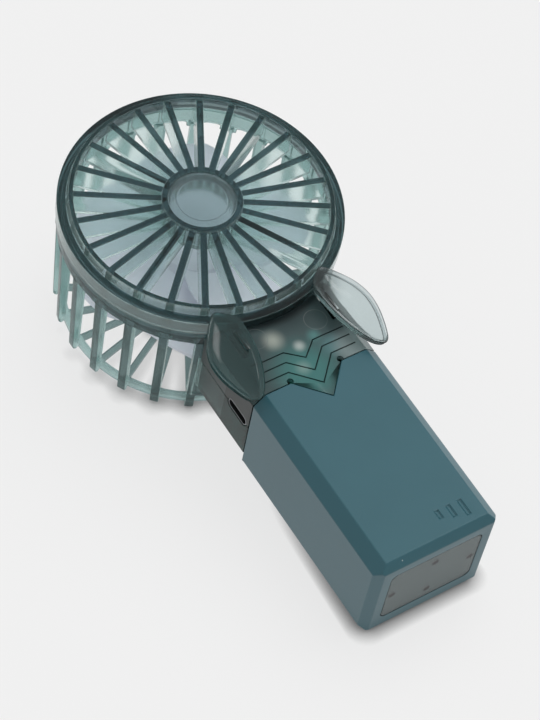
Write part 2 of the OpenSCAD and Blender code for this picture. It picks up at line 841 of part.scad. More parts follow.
module impeller() {
    color([0.86, 0.86, 0.92, 0.7]) {
        difference() {
            rotate_extrude() polygon([
                [0, rotor_top + seam], [impeller_hub_r - impeller_wall, rotor_top + seam],
                [impeller_hub_r - impeller_wall, impeller_z], [impeller_hub_r, impeller_z],
                [impeller_hub_r, impeller_top - nose_round],
                [impeller_hub_r - round_share * nose_round, impeller_top - round_share * nose_round],
                [impeller_hub_r - nose_round, impeller_top], [0, impeller_top]
            ]);
            translate([0, 0, rotor_top]) cylinder(
                r = impeller_hub_r - impeller_wall - nose_round, h = impeller_top - rotor_top - nose_wall);
        }
        translate([0, 0, rotor_top + rotor_boss_h + fit]) cylinder(
            r = rotor_boss_r + nose_wall, h = impeller_top - rotor_top - rotor_boss_h - nose_wall);
        round_axis(blade_count, blade_start) blade();
    }
}

module rotor_cup() {
    color([0.62, 0.63, 0.66]) difference() {
        rotate_extrude() polygon([
            [rotor_in_r, rotor_z], [rotor_r, rotor_z], [rotor_r, rotor_top],
            [rotor_boss_r, rotor_top], [rotor_boss_r, rotor_top + rotor_boss_h],
            [0, rotor_top + rotor_boss_h], [0, rotor_top - rotor_wall],
            [rotor_in_r, rotor_top - rotor_wall]
        ]);
        cylinder(r = shaft_r + run / 3, h = head_depth);
    }
}

module magnet_ring() {
    color([0.2, 0.2, 0.21]) translate([0, 0, stack_z])
        ring(rotor_in_r - run, magnet_in_r, stack_h + magnet_gap);
}

module motor_shaft() {
    color([0.75, 0.76, 0.78]) translate([0, 0, shaft_z])
        cylinder(r = shaft_r, h = rotor_top + rotor_boss_h - shaft_z, $fn = 48);
}

module bush() {
    difference() {
        cylinder(r = bush_r, h = bush_len, $fn = 48);
        translate([0, 0, -cut]) cylinder(r = shaft_r + run, h = bush_len + 2 * cut, $fn = 48);
    }
}

module rear_bush() {
    color([0.72, 0.55, 0.3]) translate([0, 0, shaft_z + seam]) bush();
}

module front_bush() {
    color([0.72, 0.55, 0.3]) translate([0, 0, tube_top - bush_len]) bush();
}

module motor_bracket() {
    color([0.7, 0.71, 0.73]) difference() {
        rotate_extrude() polygon([
            [0, flange_z], [flange_r, flange_z], [flange_r, flange_z + flange_t],
            [tube_r, flange_z + flange_t], [tube_r, tube_top], [bush_r + run / 3, tube_top],
            [bush_r + run / 3, shaft_z], [0, shaft_z]
        ]);
        round_axis(motor_screws_n, 180) translate([motor_screw_r, 0, flange_z - cut])
            cylinder(r = pilot_r, h = flange_t + 2 * cut, $fn = 48);
    }
}

module stator_core() {
    shoe_r = stator_r - shoe_t;
    color([0.45, 0.46, 0.48]) translate([0, 0, stack_z]) difference() {
        union() {
            cylinder(r = tube_r + tooth_ring, h = stack_h);
            round_axis(tooth_count) translate([tube_r + tooth_ring / 2, -tooth_w / 2, seam])
                cube([shoe_r + shoe_t / 2 - tube_r - tooth_ring / 2, tooth_w, stack_h - 2 * seam]);
            round_axis(tooth_count, -shoe_angle / 2) rotate_extrude(angle = shoe_angle)
                translate([shoe_r, 0]) square([shoe_t, stack_h]);
        }
        translate([0, 0, -cut]) cylinder(r = tube_r + run, h = stack_h + 2 * cut);
    }
}

module stator_coils() {
    x0 = tube_r + tooth_ring + coil_clear;
    wide = tooth_w + 2 * (coil_clear + coil_wall);
    x1 = sqrt(pow(stator_r - shoe_t, 2) - pow(wide / 2, 2)) - coil_clear;
    hole = tooth_w + 2 * coil_clear;
    color([0.72, 0.42, 0.22]) round_axis(tooth_count) difference() {
        translate([x0, -wide / 2, stack_z - coil_top])
            cube([x1 - x0, wide, stack_h + 2 * coil_top]);
        translate([x0 - cut, -hole / 2, stack_z - coil_clear])
            cube([x1 - x0 + 2 * cut, hole, stack_h + 2 * coil_clear]);
    }
}

module motor_board() {
    color([0.08, 0.14, 0.12]) {
        difference() {
            translate([0, 0, motor_board_z]) cylinder(r = motor_board_r, h = board_t);
            translate([0, 0, motor_board_z - cut]) cylinder(r = tube_r + slip, h = board_t + 2 * cut);
            round_axis(motor_screws_n, 180) translate([motor_screw_r, 0, motor_board_z - cut])
                cylinder(r = screw_r + slip, h = board_t + 2 * cut, $fn = 48);
        }
        round_axis(board_parts_n, board_parts_start) translate([motor_board_r - board_part_w, -board_part_w / 2, motor_board_z])
            cube([board_part_w - 2 * slip, board_part_w, board_t + board_part_t]);
    }
}

module motor_screws() {
    color([0.3, 0.31, 0.33]) round_axis(motor_screws_n, 180) translate([motor_screw_r, 0, 0]) {
        difference() {
            translate([0, 0, motor_well - screw_head_t]) cylinder(r = screw_head_r, h = screw_head_t, $fn = 48);
            translate([-screw_r, -screw_r / 4, 0]) cube([2 * screw_r, screw_r / 2, screw_head_t / 2]);
            translate([-screw_r / 4, -screw_r, 0]) cube([screw_r / 2, 2 * screw_r, screw_head_t / 2]);
        }
        translate([0, 0, motor_well - fit]) cylinder(
            r = screw_r, h = flange_z + flange_t - motor_well, $fn = 48);
    }
}

module motor_wires() {
    low = motor_board_top + wire_r;
    gate = gate_floor + wire_gate.y / 2;
    over = sill_z + 2 * wire_r + seam;
    color([0.75, 0.72, 0.68]) for (i = [-1 : 1]) translate([0, i * wire_pitch, 0]) wire([
        [flange_r - board_t, 0, low], [base_in_r - 2 * board_t, 0, low],
        [base_in_r - wire_r, 0, over], [drum_in_r, 0, gate],
        [board_x0 + board_t, 0, gate], [board_x0 + board_t, 0, board_z]
    ], wire_r);
}

module main_board() {
    notch_w = button_w + 2 * (button_flange_over + slip);
    notch_y = half_w - neck_wall - button_flange - button_travel - 2 * slip;
    color([0.1, 0.42, 0.3]) difference() {
        translate([board_x0, -board_w / 2, board_z]) cube([board_x1 - board_x0, board_w, board_t]);
        translate([button_x - notch_w / 2, notch_y, board_z - cut])
            cube([notch_w, board_side + cut, board_t + 2 * cut]);
        mirror_y() translate([post_x, post_y, board_z - cut])
            cylinder(r = post_r + slip, h = board_t + 2 * cut, $fn = 48);
    }
}

module usb_shell() {
    color([0.75, 0.76, 0.78]) translate([port_x, -port_mouth, port_z]) difference() {
        stadium(port_w, port_h, port_depth);
        translate([0, -cut, 0])
            stadium(port_w - 2 * port_wall, port_h - 2 * port_wall, port_depth + cut - 2 * port_wall);
    }
}

module usb_tongue() {
    color([0.08, 0.08, 0.09]) translate([
        port_x - tongue_w / 2, -port_mouth + port_depth - 2 * port_wall - tongue_depth, port_z - tongue_t / 2
    ]) cube([tongue_w, tongue_depth, tongue_t]);
}

module switch_body() {
    face = half_w - neck_wall - button_flange - plunger_seat;
    color([0.16, 0.17, 0.18]) difference() {
        translate([button_x - switch_w / 2, face - switch_d, board_top]) cube([switch_w, switch_d, switch_h]);
        translate([button_x, face - switch_d / 2, port_z]) rotate([-90, 0, 0])
            cylinder(r = plunger_r + run, h = switch_d, $fn = 32);
    }
}

module switch_plunger() {
    face = half_w - neck_wall - button_flange - plunger_seat;
    color([0.85, 0.85, 0.83]) translate([button_x, face - switch_d / 2 + button_travel + seam, port_z])
        rotate([-90, 0, 0])
            cylinder(r = plunger_r, h = plunger_seat + switch_d / 2 - button_travel - 2 * seam, $fn = 32);
}

module power_button() {
    inside = half_w - neck_wall;
    color([0.2, 0.25, 0.27]) {
        translate([button_x, inside - button_flange, port_z])
            stadium(button_w, button_h, button_flange + neck_wall + button_stand);
        translate([button_x, inside - button_flange, port_z])
            stadium(button_w + 2 * button_flange_over, button_h + button_flange_over, button_flange - seam);
    }
}

module controller_chip() {
    color([0.07, 0.07, 0.08]) translate([chip_x, chip_y, board_top]) cube([chip_w, chip_w, chip_h]);
}

module charge_coil() {
    color([0.25, 0.25, 0.26]) translate([coil_x, coil_y, board_top]) cube([coil_w, coil_w, coil_h]);
}

module capacitor() {
    color([0.85, 0.86, 0.86]) translate([can_x, can_y, board_top]) cylinder(r = can_r, h = can_h, $fn = 48);
}

module battery_socket() {
    color([0.93, 0.93, 0.9]) translate([socket_x, -socket_w / 2, board_top])
        cube([socket_d, socket_w, socket_h]);
}

module status_lamps() {
    color([0.95, 0.95, 0.9]) for (i = [0 : lamp_count - 1])
        translate([lamp_x, lamp_y + i * lamp_pitch, board_top]) cube([lamp_w / 2, lamp_w, lamp_h]);
}

module battery_cell() {
    color([0.75, 0.77, 0.8]) translate([cell_x0, 0, tray_top + cell_t / 2]) rotate([90, 0, 90])
        linear_extrude(height = cell_len) union() {
            square([cell_w - 2 * cell_round, cell_t], center = true);
            square([cell_w, cell_t - 2 * cell_round], center = true);
            for (y = [-1, 1], z = [-1, 1])
                translate([y * (cell_w / 2 - cell_round), z * (cell_t / 2 - cell_round)])
                    circle(r = cell_round, $fn = 32);
        }
}

module battery_tray() {
    color([0.2, 0.23, 0.25]) difference() {
        union() {
            translate([cell_x0 - 2 * tray_t, -tray_w / 2, tray_z])
                cube([tray_x1 - cell_x0 + 2 * tray_t, tray_w, tray_t]);
            translate([tray_x0, -tray_neck_w / 2, tray_z])
                cube([cell_x0 - tray_x0, tray_neck_w, tray_t]);
            mirror_y() translate([cell_x0 - 2 * tray_t, tray_w / 2 - tray_t / 2, tray_z])
                cube([tray_x1 - cell_x0 + 2 * tray_t, tray_t / 2, tray_lip]);
            translate([tray_x1 - tray_t, -tray_w / 2, cavity_z0])
                cube([tray_t, tray_w, tray_end_top - cavity_z0]);
            for (x = [cell_x0, cell_x0 + cell_len / 2]) translate([x, -tray_w / 2, cavity_z0 + tray_gap])
                cube([tray_t, tray_w, tray_z - cavity_z0]);
        }
        mirror_y() translate([tray_screw_x, tray_screw_y, 0])
            cylinder(r = screw_r + slip, h = tray_top + cut, $fn = 48);
        pegs(peg_r + fit, tray_x1 - tray_t - cut, reach);
    }
}

module battery_cover() {
    color([0.2, 0.23, 0.25]) {
        translate([cell_x0, -cover_w / 2, cover_z]) cube([cell_len, cover_w, cover_t]);
        for (y = [-1, 0, 1])
            translate([cell_x0, y * (cover_w - cover_rib) / 2 - cover_rib / 2, cover_z])
                cube([cell_len, cover_rib, cavity_top - cover_z - tray_gap]);
    }
}

module cell_pads() {
    color([0.12, 0.12, 0.13]) for (x = [cell_x0 + pad_w, cell_x0 + cell_len - 2 * pad_w])
        translate([x, -cover_w / 2, tray_top + cell_t]) cube([pad_w, cover_w, pad_t]);
}

module battery_leads() {
    lead_x = socket_x + socket_d;
    lead_z = board_top + socket_h / 2;
    color([0.7, 0.12, 0.1]) for (side = [-1, 1]) translate([0, side * lead_y, 0]) wire([
        [lead_x, 0, lead_z], [lead_x + lead_run, 0, lead_z],
        [cell_x0 - lead_run, 0, tray_top + cell_t / 2], [cell_x0, 0, tray_top + cell_t / 2]
    ], wire_r);
}

module collar_screws() {
    color([0.3, 0.31, 0.33]) mirror_y() translate([post_x, post_y, neck_z + head_well]) {
        translate([0, 0, -screw_head_t]) difference() {
            cylinder(r = screw_head_r, h = screw_head_t, $fn = 48);
            translate([-screw_r, -screw_r / 4, -cut]) cube([2 * screw_r, screw_r / 2, screw_head_t / 2 + cut]);
            translate([-screw_r / 4, -screw_r, -cut]) cube([screw_r / 2, 2 * screw_r, screw_head_t / 2 + cut]);
        }
        cylinder(r = screw_r, h = collar_screw_len, $fn = 48);
    }
}

module tray_screws() {
    color([0.3, 0.31, 0.33]) mirror_y() translate([tray_screw_x, tray_screw_y, tray_top]) {
        cylinder(r = screw_head_r, h = screw_head_t, $fn = 48);
        translate([0, 0, -tray_screw_len]) cylinder(r = screw_r, h = tray_screw_len + fit, $fn = 48);
    }
}

front_grille();
hub_cap();
rear_shell();
collar_front();
left_leaf();
right_leaf();
handle_sleeve();
base_window();
impeller();
rotor_cup();
magnet_ring();
motor_shaft();
front_bush();
rear_bush();
motor_bracket();
stator_core();
stator_coils();
motor_board();
motor_screws();
motor_wires();
main_board();
usb_shell();
usb_tongue();
switch_body();
switch_plunger();
power_button();
controller_chip();
charge_coil();
capacitor();
battery_socket();
status_lamps();
battery_cell();
battery_tray();
battery_cover();
cell_pads();
battery_leads();
collar_screws();
tray_screws();
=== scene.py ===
"""Dresses the packed hand-held mini fan: smoke-clear mouldings, a satin handle and a pearly impeller."""

import logging
import math
from contextlib import contextmanager
from dataclasses import dataclass
from enum import Enum
from typing import Iterator, Sequence

import bpy
from mathutils import Matrix, Vector


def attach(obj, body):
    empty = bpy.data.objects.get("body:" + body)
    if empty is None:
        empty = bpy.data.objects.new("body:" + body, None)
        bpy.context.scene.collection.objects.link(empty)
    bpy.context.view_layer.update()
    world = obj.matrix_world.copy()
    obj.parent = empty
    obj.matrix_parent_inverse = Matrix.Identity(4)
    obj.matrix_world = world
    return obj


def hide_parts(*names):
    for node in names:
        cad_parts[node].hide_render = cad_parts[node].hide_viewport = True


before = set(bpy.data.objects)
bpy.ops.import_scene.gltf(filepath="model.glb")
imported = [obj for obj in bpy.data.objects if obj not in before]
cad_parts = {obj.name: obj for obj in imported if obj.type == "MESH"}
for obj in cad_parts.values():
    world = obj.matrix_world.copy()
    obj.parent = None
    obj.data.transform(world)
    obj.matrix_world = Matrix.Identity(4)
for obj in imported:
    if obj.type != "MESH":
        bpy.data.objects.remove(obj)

LOG = logging.getLogger("mini_fan")
MM = 0.001
PER_METRE = 1000.0
Triple = tuple[float, float, float]
Socket = bpy.types.NodeSocket
Outputs = bpy.types.NodeOutputs
GREY = (0.5, 0.5, 0.5, 1.0)


class Body(Enum):
    """The rigid bodies that new pieces ride on."""

    HOUSING = "housing"
    BUTTON = "button"


class Kind(Enum):
    """How a finish passes or returns light."""

    OPAQUE = "opaque"
    CLEAR = "clear"
    METAL = "metal"


def deselect_all() -> None:
    """Leaves object mode with nothing selected."""
    if bpy.context.object and bpy.context.object.mode != "OBJECT":
        bpy.ops.object.mode_set(mode="OBJECT")
    bpy.ops.object.select_all(action="DESELECT")


def activate(obj: bpy.types.Object) -> None:
    """Selects one object alone and makes it active.

    Args:
        obj: The object to work on.
    """
    deselect_all()
    obj.select_set(True)
    bpy.context.view_layer.objects.active = obj


@contextmanager
def editing(obj: bpy.types.Object, mode: str = "VERT") -> Iterator[None]:
    """Opens edit mode on one object with all of it selected, and closes it again.

    Args:
        obj: The mesh to edit.
        mode: What is selected: VERT, EDGE or FACE.
    """
    activate(obj)
    bpy.ops.object.mode_set(mode="EDIT")
    bpy.ops.mesh.select_mode(type=mode)
    bpy.ops.mesh.select_all(action="SELECT")
    try:
        yield
    finally:
        bpy.ops.object.mode_set(mode="OBJECT")


def apply_modifier(obj: bpy.types.Object, kind: str, **values: object) -> None:
    """Adds a modifier and applies it at once.

    Args:
        obj: The mesh that takes it.
        kind: The modifier's type.
        values: The modifier's settings.
    """
    activate(obj)
    modifier = obj.modifiers.new(kind.lower(), kind)
    for key, value in values.items():
        setattr(modifier, key, value)
    bpy.ops.object.modifier_apply(modifier=modifier.name)


def smooth(obj: bpy.types.Object, angle: float) -> None:
    """Shades an object smooth where its faces meet at less than an angle in degrees."""
    activate(obj)
    bpy.ops.object.shade_smooth_by_angle(angle=math.radians(angle))


def copy_node(node: str, name: str) -> bpy.types.Object:
    """Copies a packed solid and welds its loose triangles.

    Args:
        node: The packed node's name.
        name: The new piece's name.

    Returns:
        The welded copy, at the origin.
    """
    weld = 0.002 * MM
    activate(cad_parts[node])
    bpy.ops.object.duplicate()
    piece = bpy.context.object
    piece.name = name
    piece.data.name = name
    piece.parent = None
    for key in list(piece.keys()):
        del piece[key]
    piece.data.materials.clear()
    with editing(piece):
        bpy.ops.mesh.remove_doubles(threshold=weld)
    return piece


def round_edges(obj: bpy.types.Object, width: float) -> None:
    """Rounds the sharp edges of a moulding and shades it to match.

    Args:
        obj: The mesh to round.
        width: The rounding's width in metres.
    """
    sharp, smooth_below, face_weight = 30.0, 38.0, 80
    apply_modifier(obj, "BEVEL", width=width, segments=2, limit_method="ANGLE",
                   angle_limit=math.radians(sharp), use_clamp_overlap=False, loop_slide=False)
    smooth(obj, smooth_below)
    apply_modifier(obj, "WEIGHTED_NORMAL", keep_sharp=True, weight=face_weight)


class Wiring:
    """Adds nodes to one tree and joins them."""

    def __init__(self, tree: bpy.types.NodeTree) -> None:
        """Keeps the tree that takes the nodes."""
        self.tree = tree

    def add(self, kind: str, **settings: object) -> bpy.types.Node:
        """Adds a node.

        Args:
            kind: The node's type, without ShaderNode.
            settings: The node's own settings.

        Returns:
            The new node.
        """
        node = self.tree.nodes.new(f"ShaderNode{kind}")
        for key, value in settings.items():
            setattr(node, key, value)
        return node

    def feed(self, socket: Socket, value: object) -> None:
        """Links an output to a socket, or sets the socket to a plain value.

        Args:
            socket: The input.
            value: An output, a number, a vector or a colour.
        """
        if isinstance(value, Socket):
            self.tree.links.new(value, socket)
        else:
            socket.default_value = value

    def fed(self, kind: str, values: dict[str, object], **settings: object) -> Outputs:
        """Adds a node and feeds its inputs by their names.

        Args:
            kind: The node's type, without ShaderNode.
            values: What each input gets.
            settings: The node's own settings.

        Returns:
            The node's outputs.
        """
        node = self.add(kind, **settings)
        for key, value in values.items():
            self.feed(node.inputs[key], value)
        return node.outputs

    def math(self, operation: str, *values: object) -> Socket:
        """Adds a Math node.

        Args:
            operation: What it works out.
            values: Outputs or numbers, in the node's order.

        Returns:
            The result.
        """
        node = self.add("Math", operation=operation)
        for socket, value in zip(node.inputs, values):
            self.feed(socket, value)
        return node.outputs[0]

    def vector(self, operation: str, *values: object) -> Outputs:
        """Adds a Vector Math node.

        Args:
            operation: What it works out.
            values: Outputs or vectors, in the node's order.

        Returns:
            The outputs, Vector and Value.
        """
        node = self.add("VectorMath", operation=operation)
        for socket, value in zip(node.inputs, values):
            self.feed(socket, value)
        return node.outputs

    def ramp(self, value: Socket, start: object, end: object, low: float = 0.0,
             high: float = 1.0) -> Socket:
        """Adds a smooth step from low at start to high at end.

        Args:
            value: What is mapped.
            start: Where the step starts, a number or an output.
            end: Where it ends.
            low: The result at the start.
            high: The result at the end.

        Returns:
            The result.
        """
        return self.fed("MapRange", {"Value": value, "From Min": start, "From Max": end, "To Min": low,
                                     "To Max": high}, interpolation_type="SMOOTHSTEP")[0]

    def mix(self, data_type: str, share: Socket, first: object, second: object) -> Socket:
        """Adds a Mix node.

        Args:
            data_type: FLOAT for numbers or RGBA for colours.
            share: How much of the second counts.
            first: The first value.
            second: The second value.

        Returns:
            The mixed value.
        """
        return self.fed("Mix", {"Factor": share, "A": first, "B": second}, data_type=data_type)["Result"]

    def group(self, effect: bpy.types.NodeTree, values: dict[str, object]) -> Outputs:
        """Adds a shared effect.

        Args:
            effect: The shared node group.
            values: What each of its inputs gets.

        Returns:
            The effect's outputs.
        """
        return self.fed("Group", values, node_tree=effect)


@dataclass(frozen=True)
class Spot:
    """A soft round patch of another tint on a face, in millimetres."""

    centre: Triple
    radius: float
    soft: float
    tint: Triple
    strength: float
    hollow: float = 0.0
    across: Triple = (1.0, 1.0, 0.0)

    def inputs(self) -> dict[str, object]:
        """Returns what the shared effect needs."""
        return {"Tint": (*self.tint, 1), "Centre mm": self.centre, "Across": self.across,
                "Radius mm": self.radius, "Soft mm": self.soft, "Hollow mm": self.hollow,
                "Strength": self.strength}


@dataclass(frozen=True)
class ShadeBox:
    """A box of painted shade, in which a piece takes another tint on both sides of the fan, in millimetres.
    """

    low: Triple
    high: Triple
    tint: Triple
    strength: float

    def inputs(self) -> dict[str, object]:
        """Returns what the shared effect needs."""
        return {"Tint": (*self.tint, 1), "Low mm": self.low, "High mm": self.high,
                "Strength": self.strength}


@dataclass(frozen=True)
class FacingShade:
    """Painted shade: a deeper tint by the way a face looks: up, out from the axis, in towards it, or level.

    It looks out only beyond the reach, and up or in only over the level, both in millimetres.
    A face counts as level from where its normal's rise is less than steep.
    """

    deep: Triple
    up: float = 0.0
    out: float = 0.0
    inward: float = 0.0
    side: float = 0.0
    steep: float = 0.75
    level: float = 0.0
    reach: float = 0.0

    def inputs(self) -> dict[str, object]:
        """Returns what the shared effect needs."""
        return {"Tint": (*self.deep, 1), "Up": self.up, "Out": self.out, "Inward": self.inward,
                "Side": self.side, "Steep": self.steep, "Level mm": self.level, "Reach mm": self.reach}


@dataclass(frozen=True)
class Finish:
    """A moulded, metal or board finish, with its own grain and clouding, and any painted light and shade laid
    over its colour.

    The depth is how fast the tint deepens through clear plastic, for each metre, and
    shadow_through is the share of light that its shadow lets pass. Sizes are in millimetres.
    """

    slot: str
    colour: Triple
    roughness: float
    kind: Kind = Kind.OPAQUE
    through: float = 0.0
    depth_colour: Triple = (1.0, 1.0, 1.0)
    depth: float = 0.0
    shadow_through: float = 0.0
    coat: float = 0.0
    ior: float = 1.5
    grain: float = 0.2
    grain_size: float = 0.35
    cloud: float = 0.05
    cloud_size: float = 9.0
    dust: float = 0.0
    facing_shade: FacingShade | None = None
    spots: tuple[Spot, ...] = ()
    shade_boxes: tuple[ShadeBox, ...] = ()


class Marks:
    """Tints that light, shade and the parts behind give to the clear mouldings."""

    # Painted shadow: a dark band on the neck just under the grille's rim.
    UNDER_RIM_SHADOW = Spot((0.0, 0.0, 0.0), 43.2, 2.6, (0.01, 0.016, 0.018), 0.85)
    HEAD_SHADE = Spot((35.5, 3.0, 0.0), 13.0, 9.0, (0.02, 0.036, 0.04), 0.8)
    BOARD_GREEN = Spot((58.5, -2.0, 0.0), 13.0, 10.0, (0.12, 0.39, 0.37), 0.85)
    BOARD_EDGE = Spot((54.5, 9.0, 0.0), 5.0, 4.0, (0.20, 0.42, 0.44), 0.8)
    # Painted light: a paler patch on the neck by its edge on the +Y side.
    CORNER_LIGHT = Spot((57.5, 14.8, 0.0), 8.5, 5.0, (0.44, 0.55, 0.55), 0.9)
    # Painted light: pale soft patches on the neck where light shows through it; nothing there gives light.
    GLOWS = (
        Spot((46.0, -5.1, 0.0), 4.4, 4.4, (0.80, 0.84, 0.74), 0.75),
        Spot((50.7, 0.4, 0.0), 2.5, 2.5, (0.85, 0.92, 0.88), 0.85),
        Spot((57.2, -2.4, 0.0), 3.2, 3.2, (0.55, 0.74, 0.68), 0.6),
        Spot((49.6, 5.8, 0.0), 3.0, 3.0, (0.20, 0.52, 0.50), 0.7))
    SCREW_RINGS = tuple(
        Spot((x, y, 0.0), 3.35, 0.1, (0.34, 0.40, 0.40), 0.7, hollow=3.15)
        for x, y in ((45.4, 9.0), (43.5, -9.0)))
    SPOKES = Spot((0.0, 0.0, 0.0), 34.8, 0.2, (0.22, 0.31, 0.31), 0.75)
    # Painted shade: the +Y leaf darker at its root, where it sits on the rim.
    LEAF_ROOT_SHADE = Spot((37.0, 13.0, 0.0), 10.0, 9.0, (0.07, 0.11, 0.112), 0.8)
    # Painted shade: the whole -Y leaf darker and greener than the +Y one.
    NEAR_LEAF_SHADE = Spot((48.0, -17.0, 0.0), 20.0, 2.0, (0.16, 0.33, 0.33), 0.88)
    WINDOW_PEGS = tuple(
        Spot((0.0, y, z), 1.3, 0.5, (0.0, 0.0, 0.002), 1.0, across=(0.0, 1.0, 1.0))
        for y, z in ((12.5, 24.4), (-12.5, 24.4), (0.0, 31.2), (0.0, 17.6)))

    # Painted shade on the outer skirt of the grille's rim over the neck; the box is folded, so the far side
    # takes it too.
    SKIRT_SHADE = ShadeBox((37.3, 0.0, 38.0), (40.2, 20.0, 43.4), (0.012, 0.03, 0.033), 0.8)
    # Painted shade in the etched grooves on the neck's top.
    GROOVE_SHADE = ShadeBox((45.0, -1.0, 40.1), (70.0, 15.8, 40.45), (0.004, 0.008, 0.008), 0.9)
    # Painted shade in the slots that take the leaves' keels.
    LEAF_SLOT_SHADE = ShadeBox((36.5, 13.0, 36.0), (48.6, 15.9, 40.3), (0.006, 0.009, 0.01), 0.95)
    # Painted shade in the recess round the plate in the sleeve's end.
    RECESS_SHADE = ShadeBox((119.0, -1.0, 13.7), (120.33, 14.5, 35.1), (0.004, 0.006, 0.008), 0.9)

    @staticmethod
    def sides(low: float, high: float) -> tuple[ShadeBox, ShadeBox]:
        """Makes the painted shade on the neck's sides.

        Args:
            low: The height at which they start.
            high: The height at which they end.

        Returns:
            The painted shade by the head and the one by the sleeve.
        """
        start, middle, end, inner, outer = 36.0, 47.6, 61.0, 19.0, 20.5
        by_head = ShadeBox((start, inner, low), (middle, outer, high), (0.03, 0.056, 0.056), 0.9)
        by_sleeve = ShadeBox((middle, inner, low), (end, outer, high), (0.002, 0.016, 0.014), 1.0)
        return by_head, by_sleeve


class Finishes:
    """Every finish on the fan, by the piece that wears it."""

    GRILLE = Finish(
        "smoke_teal", (0.82, 0.93, 0.92), 0.14, Kind.CLEAR, through=0.93, depth_colour=(0.34, 0.60, 0.58),
        depth=80.0, shadow_through=0.85, ior=1.49, grain=0.03, grain_size=0.6, cloud=0.04, cloud_size=12.0,
        dust=0.02, facing_shade=FacingShade((0.012, 0.030, 0.036), up=1.0, out=0.4, inward=0.92, level=42.6),
        shade_boxes=(Marks.SKIRT_SHADE,))
    NECK = Finish(
        "smoke_teal", (0.12, 0.185, 0.19), 0.3, Kind.CLEAR, through=0.62, depth_colour=(0.40, 0.52, 0.52),
        depth=260.0, shadow_through=0.7, ior=1.36, grain=0.03, grain_size=0.5, cloud=0.06, dust=0.05,
        spots=(Marks.HEAD_SHADE, Marks.BOARD_GREEN, Marks.BOARD_EDGE, Marks.CORNER_LIGHT, Marks.UNDER_RIM_SHADOW,
               *Marks.GLOWS, *Marks.SCREW_RINGS),
        shade_boxes=(Marks.GROOVE_SHADE, Marks.LEAF_SLOT_SHADE, *Marks.sides(20.0, 37.2)))
    DRUM = Finish(
        "smoke_clear", (0.58, 0.74, 0.73), 0.26, Kind.CLEAR, through=0.85, depth_colour=(0.40, 0.56, 0.54),
        depth=200.0, shadow_through=0.8, ior=1.28, grain=0.03, grain_size=0.5, cloud=0.06, cloud_size=10.0,
        dust=0.02, facing_shade=FacingShade((0.035, 0.062, 0.065), out=0.92, reach=37.4), spots=(Marks.SPOKES,),
        shade_boxes=Marks.sides(7.0, 28.0))
    LEAF = Finish(
        "smoke_teal", (0.76, 0.82, 0.83), 0.12, Kind.CLEAR, through=0.95, depth_colour=(0.40, 0.55, 0.54),
        depth=260.0, shadow_through=0.7, coat=0.15, ior=1.46, grain=0.03, grain_size=0.5, cloud_size=8.0,
        dust=0.06, facing_shade=FacingShade((0.003, 0.014, 0.012), side=1.0, steep=0.97),
        spots=(Marks.LEAF_ROOT_SHADE, Marks.NEAR_LEAF_SHADE))
    CAP = Finish(
        "frosted_blue", (0.63, 0.715, 0.725), 0.26, Kind.CLEAR, through=0.95, depth_colour=(0.6, 0.74, 0.76),
        depth=420.0, shadow_through=0.8, ior=1.45, grain=0.04, grain_size=0.3, cloud_size=6.0, dust=0.02)
    SLEEVE = Finish(
        "matte_teal", (0.028, 0.104, 0.13), 0.36, ior=1.54, grain=0.3, grain_size=0.22, cloud=0.06,
        cloud_size=14.0, dust=0.012, shade_boxes=(Marks.RECESS_SHADE,))
    WINDOW = Finish(
        "smoke_clear", (0.20, 0.27, 0.275), 0.24, Kind.CLEAR, through=0.7, depth_colour=(0.4, 0.56, 0.54),
        depth=260.0, shadow_through=0.6, ior=1.3, grain=0.04, grain_size=0.4, cloud=0.1, cloud_size=7.0,
        dust=0.03, spots=Marks.WINDOW_PEGS)
    PEARL = Finish(
        "pearl", (0.88, 0.89, 0.96), 0.3, Kind.CLEAR, through=0.2, depth_colour=(0.85, 0.87, 0.97),
        depth=40.0, shadow_through=0.6, grain=0.08, grain_size=0.5, cloud=0.06, cloud_size=12.0)
    STEEL = Finish("plated_steel", (0.62, 0.63, 0.66), 0.28, Kind.METAL)
    INLET = Finish("plated_steel", (0.22, 0.23, 0.24), 0.32, Kind.METAL)
    LAMINATION = Finish("lamination", (0.3, 0.31, 0.33), 0.4, Kind.METAL, grain=0.4)
    DARK_STEEL = Finish("dark_steel", (0.12, 0.12, 0.13), 0.35, Kind.METAL, grain=0.3)
    BRONZE = Finish("bronze", (0.55, 0.36, 0.16), 0.45, Kind.METAL, grain=0.5)
    COPPER = Finish("copper", (0.62, 0.27, 0.11), 0.3, Kind.METAL, grain=0.6, grain_size=0.25)
    ALUMINIUM = Finish("can_aluminium", (0.75, 0.76, 0.77), 0.25, Kind.METAL)
    FERRITE = Finish("dark_ferrite", (0.05, 0.05, 0.055), 0.6, grain=0.5)
    DARK_BOARD = Finish("dark_board", (0.015, 0.035, 0.03), 0.4, coat=0.3, cloud=0.15)
    GREEN_BOARD = Finish("green_board", (0.03, 0.24, 0.15), 0.35, coat=0.4, cloud=0.12)
    BLACK = Finish("black_plastic", (0.02, 0.02, 0.022), 0.4)
    WHITE = Finish("white_plastic", (0.8, 0.8, 0.76), 0.4)
    BUTTON = Finish("dark_teal", (0.04, 0.06, 0.07), 0.4, coat=0.2)
    FOAM = Finish("black_foam", (0.03, 0.03, 0.03), 0.9, grain=1.0, grain_size=0.5)
    CELL = Finish("cell_wrap", (0.5, 0.53, 0.57), 0.35, cloud=0.1)
    GREY_WIRE = Finish("grey_wire", (0.45, 0.45, 0.45), 0.5)
    RED_WIRE = Finish("red_wire", (0.45, 0.04, 0.03), 0.45)


